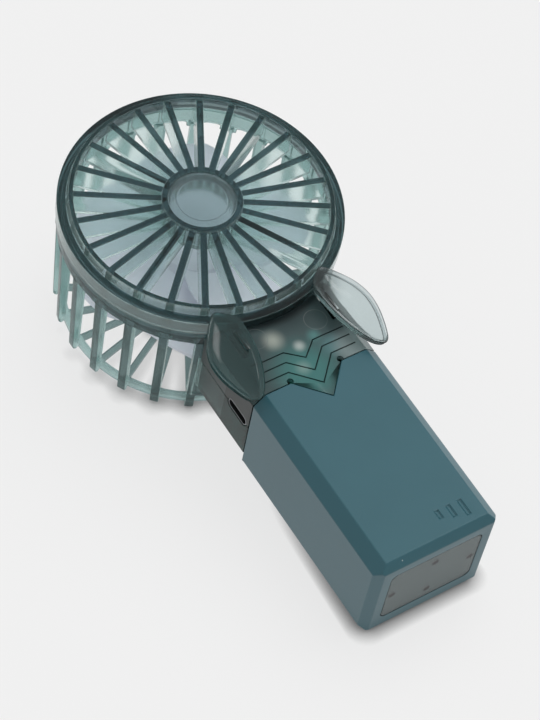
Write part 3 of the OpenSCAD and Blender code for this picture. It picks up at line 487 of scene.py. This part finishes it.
class Effects:
    """Shader node groups that several materials share."""

    def __init__(self) -> None:
        """Builds each group once."""
        self.grain = self._grain()
        self.cloud = self._cloud()
        self.dust = self._dust()
        self.facing_shade = self._facing_shade()
        self.spot = self._spot()
        self.shade_box = self._shade_box()

    @staticmethod
    def _group(name: str, inputs: dict[str, object],
               outputs: dict[str, str]) -> tuple[Wiring, Outputs, bpy.types.NodeInputs]:
        """Makes an empty group with named sockets.

        Args:
            name: The group's name.
            inputs: Each input's default: a number, a vector of three or a colour of four.
            outputs: Each output's kind.

        Returns:
            The group's wiring, what it is given, and what it gives.
        """
        kinds = {3: "Vector", 4: "Color"}
        tree = bpy.data.node_groups.new(name, "ShaderNodeTree")
        for label, value in inputs.items():
            kind = "Float" if isinstance(value, float) else kinds[len(value)]
            socket = tree.interface.new_socket(name=label, in_out="INPUT", socket_type=f"NodeSocket{kind}")
            socket.default_value = value
        for label, kind in outputs.items():
            tree.interface.new_socket(name=label, in_out="OUTPUT", socket_type=f"NodeSocket{kind}")
        given = tree.nodes.new("NodeGroupInput").outputs
        return Wiring(tree), given, tree.nodes.new("NodeGroupOutput").inputs

    @staticmethod
    def _noise(wiring: Wiring, size: Socket, detail: float) -> Socket:
        """Adds noise on the piece's own coordinates.

        Args:
            wiring: The group that takes it.
            size: The noise's size in millimetres.
            detail: How many finer layers it has.

        Returns:
            The noise, from 0 to 1.
        """
        place = wiring.add("TexCoord").outputs["Object"]
        scale = wiring.math("DIVIDE", PER_METRE, size)
        return wiring.fed("TexNoise", {"Vector": place, "Scale": scale, "Detail": detail})["Fac"]

    def _grain(self) -> bpy.types.NodeTree:
        """Makes a fine moulded grain: a height, and a roughness that varies with it.

        Returns:
            The group.
        """
        wiring, given, gives = self._group("moulded_grain", {"Size mm": 0.3, "Roughness": 0.4, "Amount": 0.2},
                                           {"Height": "Float", "Roughness": "Float"})
        noise = self._noise(wiring, given["Size mm"], 3.0)
        centred = wiring.math("SUBTRACT", noise, 0.5)
        varied = wiring.math("MULTIPLY_ADD", centred, given["Amount"], given["Roughness"])
        wiring.feed(gives["Height"], noise)
        wiring.feed(gives["Roughness"], varied)
        return wiring.tree

    def _cloud(self) -> bpy.types.NodeTree:
        """Makes a soft change of tint over the piece, as uneven pigment gives.

        Returns:
            The group.
        """
        wiring, given, gives = self._group("cloudy_tint", {"Colour": GREY, "Size mm": 10.0, "Amount": 0.05},
                                           {"Colour": "Color"})
        noise = self._noise(wiring, given["Size mm"], 2.0)
        spread = wiring.fed("MapRange", {"Value": noise, "To Min": -1.0})[0]
        gain = wiring.math("MULTIPLY_ADD", spread, given["Amount"], 1.0)
        tinted = wiring.fed("HueSaturation", {"Value": gain, "Color": given["Colour"]})
        wiring.feed(gives["Colour"], tinted["Color"])
        return wiring.tree

    def _dust(self) -> bpy.types.NodeTree:
        """Makes sparse pale specks, as on any handled plastic.

        Returns:
            The group.
        """
        specks_per_metre, speck_size, speck_colour = 420.0, 0.05, (0.75, 0.78, 0.78, 1.0)
        wiring, given, gives = self._group("dust_specks", {"Colour": GREY, "Amount": 0.02},
                                           {"Colour": "Color"})
        place = wiring.add("TexCoord").outputs["Object"]
        cells = wiring.fed("TexVoronoi", {"Vector": place, "Scale": specks_per_metre})
        dot = wiring.math("LESS_THAN", cells["Distance"], speck_size)
        draw = wiring.fed("SeparateColor", {"Color": cells["Color"]})[0]
        few = wiring.math("LESS_THAN", draw, given["Amount"])
        mask = wiring.math("MULTIPLY", dot, few)
        wiring.feed(gives["Colour"], wiring.mix("RGBA", mask, given["Colour"], speck_colour))
        return wiring.tree

    def _tint_group(self, name: str, inputs: dict[str, object]) -> tuple[Wiring, Outputs,
                                                                         bpy.types.NodeInputs]:
        """Makes an empty group that turns a Colour towards a Tint.

        Args:
            name: The group's name.
            inputs: The defaults of its other inputs.

        Returns:
            The group's wiring, what it is given, and what it gives.
        """
        return self._group(name, {"Colour": GREY, "Tint": GREY, **inputs}, {"Colour": "Color"})

    def _facing_shade(self) -> bpy.types.NodeTree:
        """Makes painted shade: a deeper tint by the way a face looks, standing in for the dark that tinted
        plastic shows where it is seen through its depth.

        Returns:
            The group.
        """
        shallow, steep, sideways, full = 0.35, 0.95, 0.5, 0.9
        wiring, given, gives = self._tint_group("painted_facing_shade", {
            "Up": 0.0, "Out": 0.0, "Inward": 0.0, "Side": 0.0, "Steep": 0.75, "Level mm": 0.0,
            "Reach mm": 0.0})
        place = wiring.add("TexCoord").outputs
        flat = wiring.vector("MULTIPLY", place["Object"], (1.0, 1.0, 0.0))["Vector"]
        ray = wiring.vector("NORMALIZE", flat)["Vector"]
        away = wiring.vector("DOT_PRODUCT", ray, place["Normal"])["Value"]
        rise = wiring.fed("SeparateXYZ", {"Vector": place["Normal"]})["Z"]
        height = wiring.fed("SeparateXYZ", {"Vector": place["Object"]})["Z"]
        high = wiring.math("GREATER_THAN", height, wiring.math("MULTIPLY", given["Level mm"], MM))
        up = wiring.math("MULTIPLY", wiring.ramp(rise, shallow, steep), given["Up"])
        inward = wiring.math("MULTIPLY", wiring.ramp(away, -sideways, -full), given["Inward"])
        raised = wiring.math("MULTIPLY", wiring.math("MAXIMUM", up, inward), high)
        out = wiring.math("MULTIPLY", wiring.ramp(away, sideways, full), given["Out"])
        radius = wiring.vector("LENGTH", flat)["Value"]
        beyond = wiring.math("GREATER_THAN", radius, wiring.math("MULTIPLY", given["Reach mm"], MM))
        outer = wiring.math("MULTIPLY", beyond, out)
        level = wiring.ramp(wiring.math("ABSOLUTE", rise), given["Steep"], shallow)
        side = wiring.math("MULTIPLY", level, given["Side"])
        share = wiring.math("MAXIMUM", wiring.math("MAXIMUM", raised, outer), side)
        wiring.feed(gives["Colour"], wiring.mix("RGBA", share, given["Colour"], given["Tint"]))
        return wiring.tree

    def _spot(self) -> bpy.types.NodeTree:
        """Makes a soft round patch, or a ring where its hollow isn't nought.

        Returns:
            The group.
        """
        wiring, given, gives = self._tint_group("soft_spot", {
            "Centre mm": (0.0, 0.0, 0.0), "Across": (1.0, 1.0, 0.0), "Radius mm": 1.0, "Soft mm": 0.5,
            "Hollow mm": 0.0, "Strength": 0.5})
        place = wiring.add("TexCoord").outputs["Object"]
        sized = wiring.vector("MULTIPLY", place, (PER_METRE,) * 3)["Vector"]
        apart = wiring.vector("SUBTRACT", sized, given["Centre mm"])["Vector"]
        flat = wiring.vector("MULTIPLY", apart, given["Across"])["Vector"]
        reach = wiring.vector("LENGTH", flat)["Value"]
        core = wiring.math("SUBTRACT", given["Radius mm"], given["Soft mm"])
        disc = wiring.ramp(reach, given["Radius mm"], core)
        ring = wiring.math("MULTIPLY", disc, wiring.math("GREATER_THAN", reach, given["Hollow mm"]))
        share = wiring.math("MULTIPLY", ring, given["Strength"])
        wiring.feed(gives["Colour"], wiring.mix("RGBA", share, given["Colour"], given["Tint"]))
        return wiring.tree

    def _shade_box(self) -> bpy.types.NodeTree:
        """Makes painted shade: another tint inside a box, the same on both sides of the fan.

        Returns:
            The group.
        """
        wiring, given, gives = self._tint_group("painted_box_shade", {
            "Low mm": (0.0, 0.0, 0.0), "High mm": (1.0, 1.0, 1.0), "Strength": 0.5})
        place = wiring.add("TexCoord").outputs["Object"]
        sized = wiring.vector("MULTIPLY", place, (PER_METRE,) * 3)["Vector"]
        folded = wiring.vector("ABSOLUTE", sized)["Vector"]
        over = wiring.vector("SUBTRACT", folded, given["Low mm"])["Vector"]
        under = wiring.vector("SUBTRACT", given["High mm"], folded)["Vector"]
        inside = wiring.vector("MINIMUM", over, under)["Vector"]
        x, y, z = wiring.fed("SeparateXYZ", {"Vector": inside})
        least = wiring.math("MINIMUM", x, wiring.math("MINIMUM", y, z))
        share = wiring.math("MULTIPLY", wiring.math("GREATER_THAN", least, 0.0), given["Strength"])
        wiring.feed(gives["Colour"], wiring.mix("RGBA", share, given["Colour"], given["Tint"]))
        return wiring.tree


class Paint:
    """Turns finishes into materials, each made once."""

    air = 0.015 * MM
    grain_height = 0.008 * MM
    coat_roughness = 0.12

    def __init__(self) -> None:
        """Starts with no material made."""
        self.effects = Effects()
        self.made: dict[Finish, bpy.types.Material] = {}

    def material(self, finish: Finish) -> bpy.types.Material:
        """Finds the material for a finish, and makes it the first time.

        Args:
            finish: What the material shows.

        Returns:
            The material.
        """
        if finish not in self.made:
            self.made[finish] = self._make(finish)
        return self.made[finish]

    def _make(self, finish: Finish) -> bpy.types.Material:
        """Builds one material around a Principled shader.

        Args:
            finish: What the material shows.

        Returns:
            The material, named for the finish.
        """
        label = next(key.lower() for key, value in vars(Finishes).items() if value is finish)
        material = bpy.data.materials.new(label)
        material.use_nodes = True
        wiring = Wiring(material.node_tree)
        shader = material.node_tree.nodes["Principled BSDF"].inputs
        shader["IOR"].default_value = finish.ior
        shader["Coat Weight"].default_value = finish.coat
        shader["Coat Roughness"].default_value = self.coat_roughness
        shader["Metallic"].default_value = 1.0 if finish.kind is Kind.METAL else 0.0
        shader["Transmission Weight"].default_value = finish.through
        wiring.feed(shader["Base Color"], self._tint(wiring, finish))
        grain = wiring.group(self.effects.grain, {"Size mm": finish.grain_size, "Amount": finish.grain,
                                                  "Roughness": finish.roughness})
        bump = wiring.fed("Bump", {"Strength": finish.grain, "Distance": self.grain_height,
                                   "Height": grain["Height"]})
        wiring.feed(shader["Roughness"], grain["Roughness"])
        wiring.feed(shader["Normal"], bump["Normal"])
        if finish.kind is Kind.CLEAR:
            self._clear(wiring, finish, shader)
        return material

    def _tint(self, wiring: Wiring, finish: Finish) -> Socket:
        """Lays clouding, dust, and the finish's painted light and shade and other tints, over its colour.

        Args:
            wiring: The material's tree.
            finish: What the material shows.

        Returns:
            The colour with all of them laid over it.
        """
        cloud = wiring.group(self.effects.cloud, {"Colour": (*finish.colour, 1), "Size mm": finish.cloud_size,
                                                  "Amount": finish.cloud})
        tint = wiring.group(self.effects.dust, {"Colour": cloud["Colour"], "Amount": finish.dust})["Colour"]
        turns = (finish.facing_shade,) if finish.facing_shade else ()
        for effect, marks in ((self.effects.facing_shade, turns), (self.effects.spot, finish.spots),
                              (self.effects.shade_box, finish.shade_boxes)):
            for mark in marks:
                tint = wiring.group(effect, {"Colour": tint, **mark.inputs()})["Colour"]
        return tint

    @staticmethod
    def _clear(wiring: Wiring, finish: Finish, shader: bpy.types.NodeInputs) -> None:
        """Tints clear plastic through its depth and lets light through its shadow.

        Args:
            wiring: The material's tree.
            finish: What the material shows.
            shader: The Principled shader's inputs.
        """
        absorb = wiring.fed("VolumeAbsorption", {"Color": (*finish.depth_colour, 1), "Density": finish.depth})
        wiring.feed(wiring.tree.nodes["Material Output"].inputs["Volume"], absorb[0])
        shadow_ray = wiring.add("LightPath").outputs["Is Shadow Ray"]
        wiring.feed(shader["Alpha"], wiring.math("MULTIPLY_ADD", shadow_ray, -finish.shadow_through, 1.0))

    def dress_node(self, node: str, finish: Finish) -> None:
        """Gives a packed node its finish, on the node's own material slots.

        Args:
            node: The packed node's name.
            finish: What it wears.
        """
        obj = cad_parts[node]
        if not obj.material_slots:
            obj.data.materials.append(None)
        for place in obj.material_slots:
            place.material = self.material(finish)
        LOG.info("dressed node %s", node)

    def finish_piece(self, piece: bpy.types.Object, finish: Finish, body: Body, *nodes: str) -> None:
        """Dresses a new piece, hangs it on the body it rides on, and hides the packed nodes that it stands
        for.

        A clear piece draws in by a hair, so that air parts it from what it touches.

        Args:
            piece: The finished piece, at the origin.
            finish: What it wears.
            body: The body it rides on.
            nodes: The packed nodes that it stands for.
        """
        if finish.kind is Kind.CLEAR:
            apply_modifier(piece, "DISPLACE", strength=-self.air, mid_level=0.0)
        piece.data.materials.clear()
        piece.data.materials.append(self.material(finish))
        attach(piece, body.value)
        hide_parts(*nodes)
        LOG.info("piece %s: %d faces", piece.name, len(piece.data.polygons))


@dataclass
class FanHead:
    """The grille, its cap and the slotted drum."""

    edge: float = 0.22 * MM

    def build(self, paint: Paint) -> None:
        """Builds the head's pieces.

        Args:
            paint: What dresses them.
        """
        for node, finish in (("front_grille", Finishes.GRILLE), ("hub_cap", Finishes.CAP),
                             ("rear_shell", Finishes.DRUM)):
            piece = copy_node(node, f"{node}_moulding")
            round_edges(piece, self.edge)
            paint.finish_piece(piece, finish, Body.HOUSING, node)


@dataclass
class Leaf:
    """One dished leaf with a rounded lip, a root seated on the rim and a keel in the neck's slot.

    The tilt, the slope and smooth_below are in degrees. The outline's marks are shares of the length
    and the width. Each ring of the dish is a share of the outline and its height in millimetres,
    from the lip in to the middle.
    """

    length: float = 29.0 * MM
    width: float = 13.9 * MM
    lip: float = 1.9 * MM
    wall: float = 1.5 * MM
    tilt: float = 8.0
    slope: float = 2.5
    place: Triple = (33.5 * MM, 11.45 * MM, 44.0 * MM)
    middle: tuple[float, float] = (0.56, 0.5)
    marks: tuple[tuple[float, float], ...] = (
        (0.14, 0.02), (0.26, 0.0), (0.38, 0.02), (0.55, 0.08), (0.72, 0.19), (0.87, 0.34), (0.95, 0.45),
        (0.995, 0.56), (1.0, 0.64), (0.98, 0.71), (0.94, 0.77), (0.82, 0.87), (0.66, 0.965), (0.5, 1.0),
        (0.38, 0.965), (0.26, 0.87), (0.14, 0.7), (0.05, 0.54), (0.0, 0.42), (0.0, 0.33))
    rings: tuple[tuple[float, float], ...] = (
        (0.985, 2.42), (0.955, 2.5), (0.92, 2.36), (0.85, 1.85), (0.7, 1.2), (0.48, 0.8), (0.22, 0.66))
    rim_r: float = 40.2 * MM
    rim_z: float = 43.63 * MM
    ring_r: float = 37.6 * MM
    keel_low: Triple = (40.6 * MM, 13.7 * MM, 39.12 * MM)
    keel_high: Triple = (47.58 * MM, 14.95 * MM, 44.6 * MM)
    keel_edge: float = 0.2 * MM
    points: int = 56
    steps: int = 8
    subdivisions: int = 2
    smooth_below: float = 40.0
    cutter_sides: int = 144
    cutter_below: float = 5 * MM
    cutter_above: float = 10 * MM

    def curve(self) -> list[Vector]:
        """Draws a smooth closed line through the outline's marks.

        Returns:
            Fine points along the line.
        """
        marks = [Vector((x * self.length, y * self.width)) for x, y in self.marks]
        count = len(marks)
        fine: list[Vector] = []
        for i in range(count):
            a, b, c, d = (marks[(i + k) % count] for k in (-1, 0, 1, 2))
            for step in range(self.steps):
                t = step / self.steps
                fine.append(0.5 * (2 * b + (c - a) * t + (2 * a - 5 * b + 4 * c - d) * t ** 2
                                   + (3 * b - a - 3 * c + d) * t ** 3))
        return fine

    def outline(self) -> list[Vector]:
        """Walks along the outline's line in even steps.

        Returns:
            One point for each corner of the dish's rings.
        """
        fine = self.curve()
        spans = [(fine[(i + 1) % len(fine)] - fine[i]).length for i in range(len(fine))]
        total, walked, index, out = sum(spans), 0.0, 0, []
        for k in range(self.points):
            goal = total * k / self.points
            while walked + spans[index] < goal:
                walked += spans[index]
                index += 1
            share = (goal - walked) / spans[index]
            out.append(fine[index].lerp(fine[(index + 1) % len(fine)], share))
        return out

    def dish(self, name: str) -> bpy.types.Object:
        """Shapes the dish from a filled ring: nested rings that fall to the middle, then a wall.

        Args:
            name: The piece's name.

        Returns:
            The dish, lying flat with its corner at the origin.
        """
        inset_start = 0.01 * MM
        deselect_all()
        bpy.ops.mesh.primitive_circle_add(vertices=self.points, radius=self.width / 2, fill_type="NGON")
        piece = bpy.context.object
        piece.name = name
        piece.data.name = name
        for vertex, point in zip(piece.data.vertices, self.outline()):
            vertex.co = (point.x, point.y, self.lip)
        centre = (self.middle[0] * self.length, self.middle[1] * self.width, 0.0)
        scale, height = 1.0, self.lip
        with editing(piece, "FACE"):
            for share, level in self.rings:
                bpy.ops.mesh.inset(thickness=inset_start, depth=0.0)
                step = share / scale
                bpy.ops.transform.resize(value=(step, step, 1.0), center_override=centre)
                bpy.ops.transform.translate(value=(0.0, 0.0, level * MM - height))
                scale, height = share, level * MM
            bpy.ops.mesh.poke()
            bpy.ops.mesh.select_all(action="SELECT")
            bpy.ops.mesh.normals_make_consistent(inside=False)
        if piece.data.polygons[0].normal.z < 0:
            with editing(piece, "FACE"):
                bpy.ops.mesh.flip_normals()
        apply_modifier(piece, "SOLIDIFY", thickness=self.wall, offset=-1.0, use_even_offset=True)
        apply_modifier(piece, "SUBSURF", levels=self.subdivisions, render_levels=self.subdivisions)
        return piece

    def cut(self, piece: bpy.types.Object, radius: float, top: float) -> None:
        """Cuts the fan head's round wall out of a piece.

        Args:
            piece: The piece to cut.
            radius: The wall's radius.
            top: The height to which the wall reaches.
        """
        deselect_all()
        low = self.keel_low[2] - self.cutter_below
        bpy.ops.mesh.primitive_cylinder_add(vertices=self.cutter_sides, radius=radius, depth=top - low,
                                            location=(0, 0, (top + low) / 2))
        cutter = bpy.context.object
        apply_modifier(piece, "BOOLEAN", operation="DIFFERENCE", object=cutter, solver="EXACT")
        bpy.data.objects.remove(cutter)

    def keel(self, piece: bpy.types.Object) -> None:
        """Joins the keel that stands in the neck's slot.

        Args:
            piece: The dish in its place.
        """
        deselect_all()
        low, high = Vector(self.keel_low), Vector(self.keel_high)
        bpy.ops.mesh.primitive_cube_add(size=1.0, location=(low + high) / 2, scale=high - low)
        keel = bpy.context.object
        bpy.ops.object.transform_apply(location=True, rotation=True, scale=True)
        apply_modifier(keel, "BEVEL", width=self.keel_edge, segments=2)
        apply_modifier(piece, "BOOLEAN", operation="UNION", object=keel, solver="EXACT")
        bpy.data.objects.remove(keel)

    def build(self, name: str, side: int) -> bpy.types.Object:
        """Builds a leaf.

        Args:
            name: The piece's name.
            side: 1 for the +Y leaf and -1 for the -Y leaf.

        Returns:
            The leaf, at the origin.
        """
        piece = self.dish(name)
        piece.matrix_world = (Matrix.Translation(self.place)
                              @ Matrix.Rotation(math.radians(self.slope), 4, "Y")
                              @ Matrix.Rotation(math.radians(-self.tilt), 4, "X"))
        activate(piece)
        bpy.ops.object.transform_apply(location=True, rotation=True, scale=True)
        self.keel(piece)
        self.cut(piece, self.rim_r, self.rim_z)
        self.cut(piece, self.ring_r, self.rim_z + self.cutter_above)
        if side < 0:
            with editing(piece):
                bpy.ops.transform.resize(value=(1, -1, 1), center_override=(0, 0, 0))
                bpy.ops.mesh.normals_make_consistent(inside=False)
        smooth(piece, self.smooth_below)
        return piece


@dataclass
class Neck:
    """The neck's front half, the leaves and the button."""

    edge: float = 0.12 * MM

    def build(self, paint: Paint) -> None:
        """Builds the neck's pieces.

        Args:
            paint: What dresses them.
        """
        plate = copy_node("collar_front", "collar_front_moulding")
        round_edges(plate, self.edge)
        paint.finish_piece(plate, Finishes.NECK, Body.HOUSING, "collar_front")
        for node, side in (("left_leaf", -1), ("right_leaf", 1)):
            piece = Leaf().build(f"{node}_dish", side)
            paint.finish_piece(piece, Finishes.LEAF, Body.HOUSING, node)
        button = copy_node("power_button", "power_button_cap")
        round_edges(button, self.edge)
        paint.finish_piece(button, Finishes.BUTTON, Body.BUTTON, "power_button")


@dataclass
class Handle:
    """The satin sleeve and the plate in its end."""

    sleeve_edge: float = 0.3 * MM
    window_edge: float = 0.1 * MM

    def build(self, paint: Paint) -> None:
        """Builds the handle's pieces.

        Args:
            paint: What dresses them.
        """
        for node, finish, edge in (("handle_sleeve", Finishes.SLEEVE, self.sleeve_edge),
                                   ("base_window", Finishes.WINDOW, self.window_edge)):
            piece = copy_node(node, f"{node}_moulding")
            round_edges(piece, edge)
            paint.finish_piece(piece, finish, Body.HOUSING, node)


@dataclass
class Workings:
    """The packed nodes that keep their shape and get their finish."""

    worn: tuple[tuple[Finish, tuple[str, ...]], ...] = (
        (Finishes.PEARL, ("impeller",)),
        (Finishes.STEEL, ("rotor_cup", "motor_shaft", "motor_bracket")),
        (Finishes.INLET, ("usb_shell",)),
        (Finishes.FERRITE, ("magnet_ring", "charge_coil")),
        (Finishes.BRONZE, ("front_bush", "rear_bush")),
        (Finishes.LAMINATION, ("stator_core",)),
        (Finishes.COPPER, ("stator_coils",)),
        (Finishes.DARK_STEEL, ("motor_screws", "collar_screws", "tray_screws")),
        (Finishes.ALUMINIUM, ("capacitor",)),
        (Finishes.DARK_BOARD, ("motor_board",)),
        (Finishes.GREEN_BOARD, ("main_board",)),
        (Finishes.BLACK, ("usb_tongue", "switch_body", "controller_chip")),
        (Finishes.WHITE, ("switch_plunger", "battery_socket", "status_lamps")),
        (Finishes.CELL, ("battery_cell",)),
        (Finishes.BUTTON, ("battery_tray", "battery_cover")),
        (Finishes.FOAM, ("cell_pads",)),
        (Finishes.GREY_WIRE, ("motor_wires",)),
        (Finishes.RED_WIRE, ("battery_leads",)))

    def build(self, paint: Paint) -> None:
        """Dresses each node.

        Args:
            paint: What dresses them.
        """
        for finish, nodes in self.worn:
            for node in nodes:
                paint.dress_node(node, finish)


@dataclass(frozen=True)
class Lamp:
    """A broad even lamp, far off.

    It stands the way that towards gives from the fan, looks spread degrees wide from there, and
    power is the light that it gives a surface that faces it.
    """

    name: str
    towards: Triple
    spread: float
    power: float

    def build(self) -> None:
        """Adds the lamp, which gloss and clear plastic don't show."""
        deselect_all()
        bpy.ops.object.light_add(type="SUN", location=self.towards)
        light = bpy.context.object
        light.name = self.name
        light.data.energy = self.power
        light.data.angle = math.radians(self.spread)
        light.visible_glossy = False
        light.visible_transmission = False
        light.rotation_euler = Vector(self.towards).to_track_quat("Z", "Y").to_euler()


@dataclass
class Studio:
    """The floor, the soft lamps, the pale surround and the camera.

    The camera's angles are in radians, and its focal length is in pixels of the picture's height.
    The box is a bright patch of the surround that only gloss shows: it starts and is full at
    these cosines from its own direction.
    """

    focal_px: float = 2718.61
    image_px: float = 720.0
    sensor: float = 36.0
    clip_start: float = 10 * MM
    azimuth: float = 0.828298
    elevation: float = 0.956643
    roll: float = 0.220558
    distance: float = 766.567 * MM
    target: Triple = (33.8576 * MM, 6.5693 * MM, 7.5 * MM)
    rest_head: tuple[float, float] = (37.0 * MM, 0.0)
    rest_handle: tuple[float, float] = (118.2 * MM, 7.5 * MM)
    floor_size: float = 3.0
    floor_gap: float = 0.02 * MM
    floor_shade: float = 0.865
    floor_glow: float = 0.86
    contact: float = 4.5 * MM
    contact_power: float = 1.6
    contact_samples: int = 12
    light_way: Triple = (-0.25, 0.45, 0.86)
    light_start: float = -0.6
    light_low: float = 0.18
    light_high: float = 0.72
    box_way: Triple = (-0.03, 0.58, 0.814)
    box_start: float = 0.965
    box_full: float = 0.993
    box_around: float = 0.42
    box_level: float = 3.0
    fill_way: Triple = (-0.3, -0.9, 0.3)

    def tilt(self) -> float:
        """Returns the floor's slope about Y, in radians."""
        (x0, z0), (x1, z1) = self.rest_head, self.rest_handle
        return math.atan2(z1 - z0, x1 - x0)

    def floor(self) -> None:
        """Adds the pale floor that the drum's rear edge and the handle's end rest on."""
        deselect_all()
        x, z = self.rest_head
        bpy.ops.mesh.primitive_plane_add(size=self.floor_size, location=(x, 0, z - self.floor_gap),
                                         rotation=(0, -self.tilt(), 0))
        plane = bpy.context.object
        plane.name = "floor"
        bpy.ops.object.transform_apply(location=True, rotation=True, scale=True)
        plane.data.materials.append(self.floor_material())

    def floor_material(self) -> bpy.types.Material:
        """Makes the floor's pale material, which mostly glows evenly, with a painted contact shadow that
        darkens it near what it carries.

        Returns:
            The material.
        """
        material = bpy.data.materials.new("pale_floor")
        material.use_nodes = True
        wiring = Wiring(material.node_tree)
        shader = material.node_tree.nodes["Principled BSDF"].inputs
        lit_shade = self.floor_shade * (1 - self.floor_glow)
        shader["Base Color"].default_value = (lit_shade, lit_shade, lit_shade, 1)
        shader["Roughness"].default_value = 1.0
        shader["Specular IOR Level"].default_value = 0.0
        shader["Emission Color"].default_value = (1, 1, 1, 1)
        # Painted contact shadow: ambient occlusion dims the floor's glow near the fan.
        near = wiring.fed("AmbientOcclusion", {"Distance": self.contact}, samples=self.contact_samples)
        deep = wiring.math("POWER", near["AO"], self.contact_power)
        glow = wiring.math("MULTIPLY", deep, self.floor_shade * self.floor_glow)
        wiring.feed(shader["Emission Strength"], glow)
        return material

    def world(self) -> None:
        """Sets a pale surround, with a bright patch that only gloss shows."""
        world = bpy.data.worlds.new("surround")
        bpy.context.scene.world = world
        world.use_nodes = True
        wiring = Wiring(world.node_tree)
        ground = world.node_tree.nodes["Background"].inputs
        ground["Color"].default_value = (1, 1, 1, 1)
        ray = wiring.add("LightPath").outputs
        way = wiring.add("TexCoord").outputs["Generated"]
        along = wiring.vector("DOT_PRODUCT", way, self.light_way)["Value"]
        sky = wiring.fed("MapRange", {"Value": along, "From Min": self.light_start,
                                      "To Min": self.light_low, "To Max": self.light_high})[0]
        beside = wiring.vector("DOT_PRODUCT", way, self.box_way)["Value"]
        box = wiring.ramp(beside, self.box_start, self.box_full, self.box_around, self.box_level)
        gloss = wiring.mix("FLOAT", ray["Is Glossy Ray"], sky, box)
        seen = wiring.math("MAXIMUM", ray["Is Camera Ray"], ray["Is Transmission Ray"])
        wiring.feed(ground["Strength"], wiring.mix("FLOAT", seen, gloss, self.floor_shade))

    def camera(self) -> None:
        """Places the camera that the photograph's perspective gives."""
        sin_a, cos_a = math.sin(self.azimuth), math.cos(self.azimuth)
        sin_e, cos_e = math.sin(self.elevation), math.cos(self.elevation)
        back = Vector((sin_a * cos_e, -cos_a * cos_e, sin_e))
        right = Vector((cos_a, sin_a, 0))
        up = back.cross(right)
        turned_x = right * math.cos(self.roll) + up * math.sin(self.roll)
        turned_y = up * math.cos(self.roll) - right * math.sin(self.roll)
        axes = Matrix((turned_x, turned_y, back)).transposed().to_4x4()
        deselect_all()
        bpy.ops.object.camera_add()
        camera = bpy.context.object
        camera.name = "camera"
        camera.matrix_world = Matrix.Translation(Vector(self.target) + back * self.distance) @ axes
        camera.data.sensor_width = self.sensor
        camera.data.lens = self.focal_px / self.image_px * self.sensor
        camera.data.clip_start = self.clip_start
        bpy.context.scene.camera = camera

    def build(self) -> None:
        """Builds the whole setting."""
        self.camera()
        self.floor()
        self.world()
        for lamp in (Lamp("key_lamp", self.light_way, spread=60.0, power=1.75),
                     Lamp("fill_lamp", self.fill_way, spread=80.0, power=0.2)):
            lamp.build()
        bpy.context.scene.view_settings.view_transform = "Standard"


def main() -> None:
    """Builds every sub-assembly in order."""
    logging.basicConfig(level=logging.INFO, format="%(name)s: %(message)s")
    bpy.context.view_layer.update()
    paint = Paint()
    for part in (Workings(), FanHead(), Neck(), Handle()):
        part.build(paint)
        LOG.info("built %s", type(part).__name__)
    Studio().build()


if __name__ == "__main__":
    main()
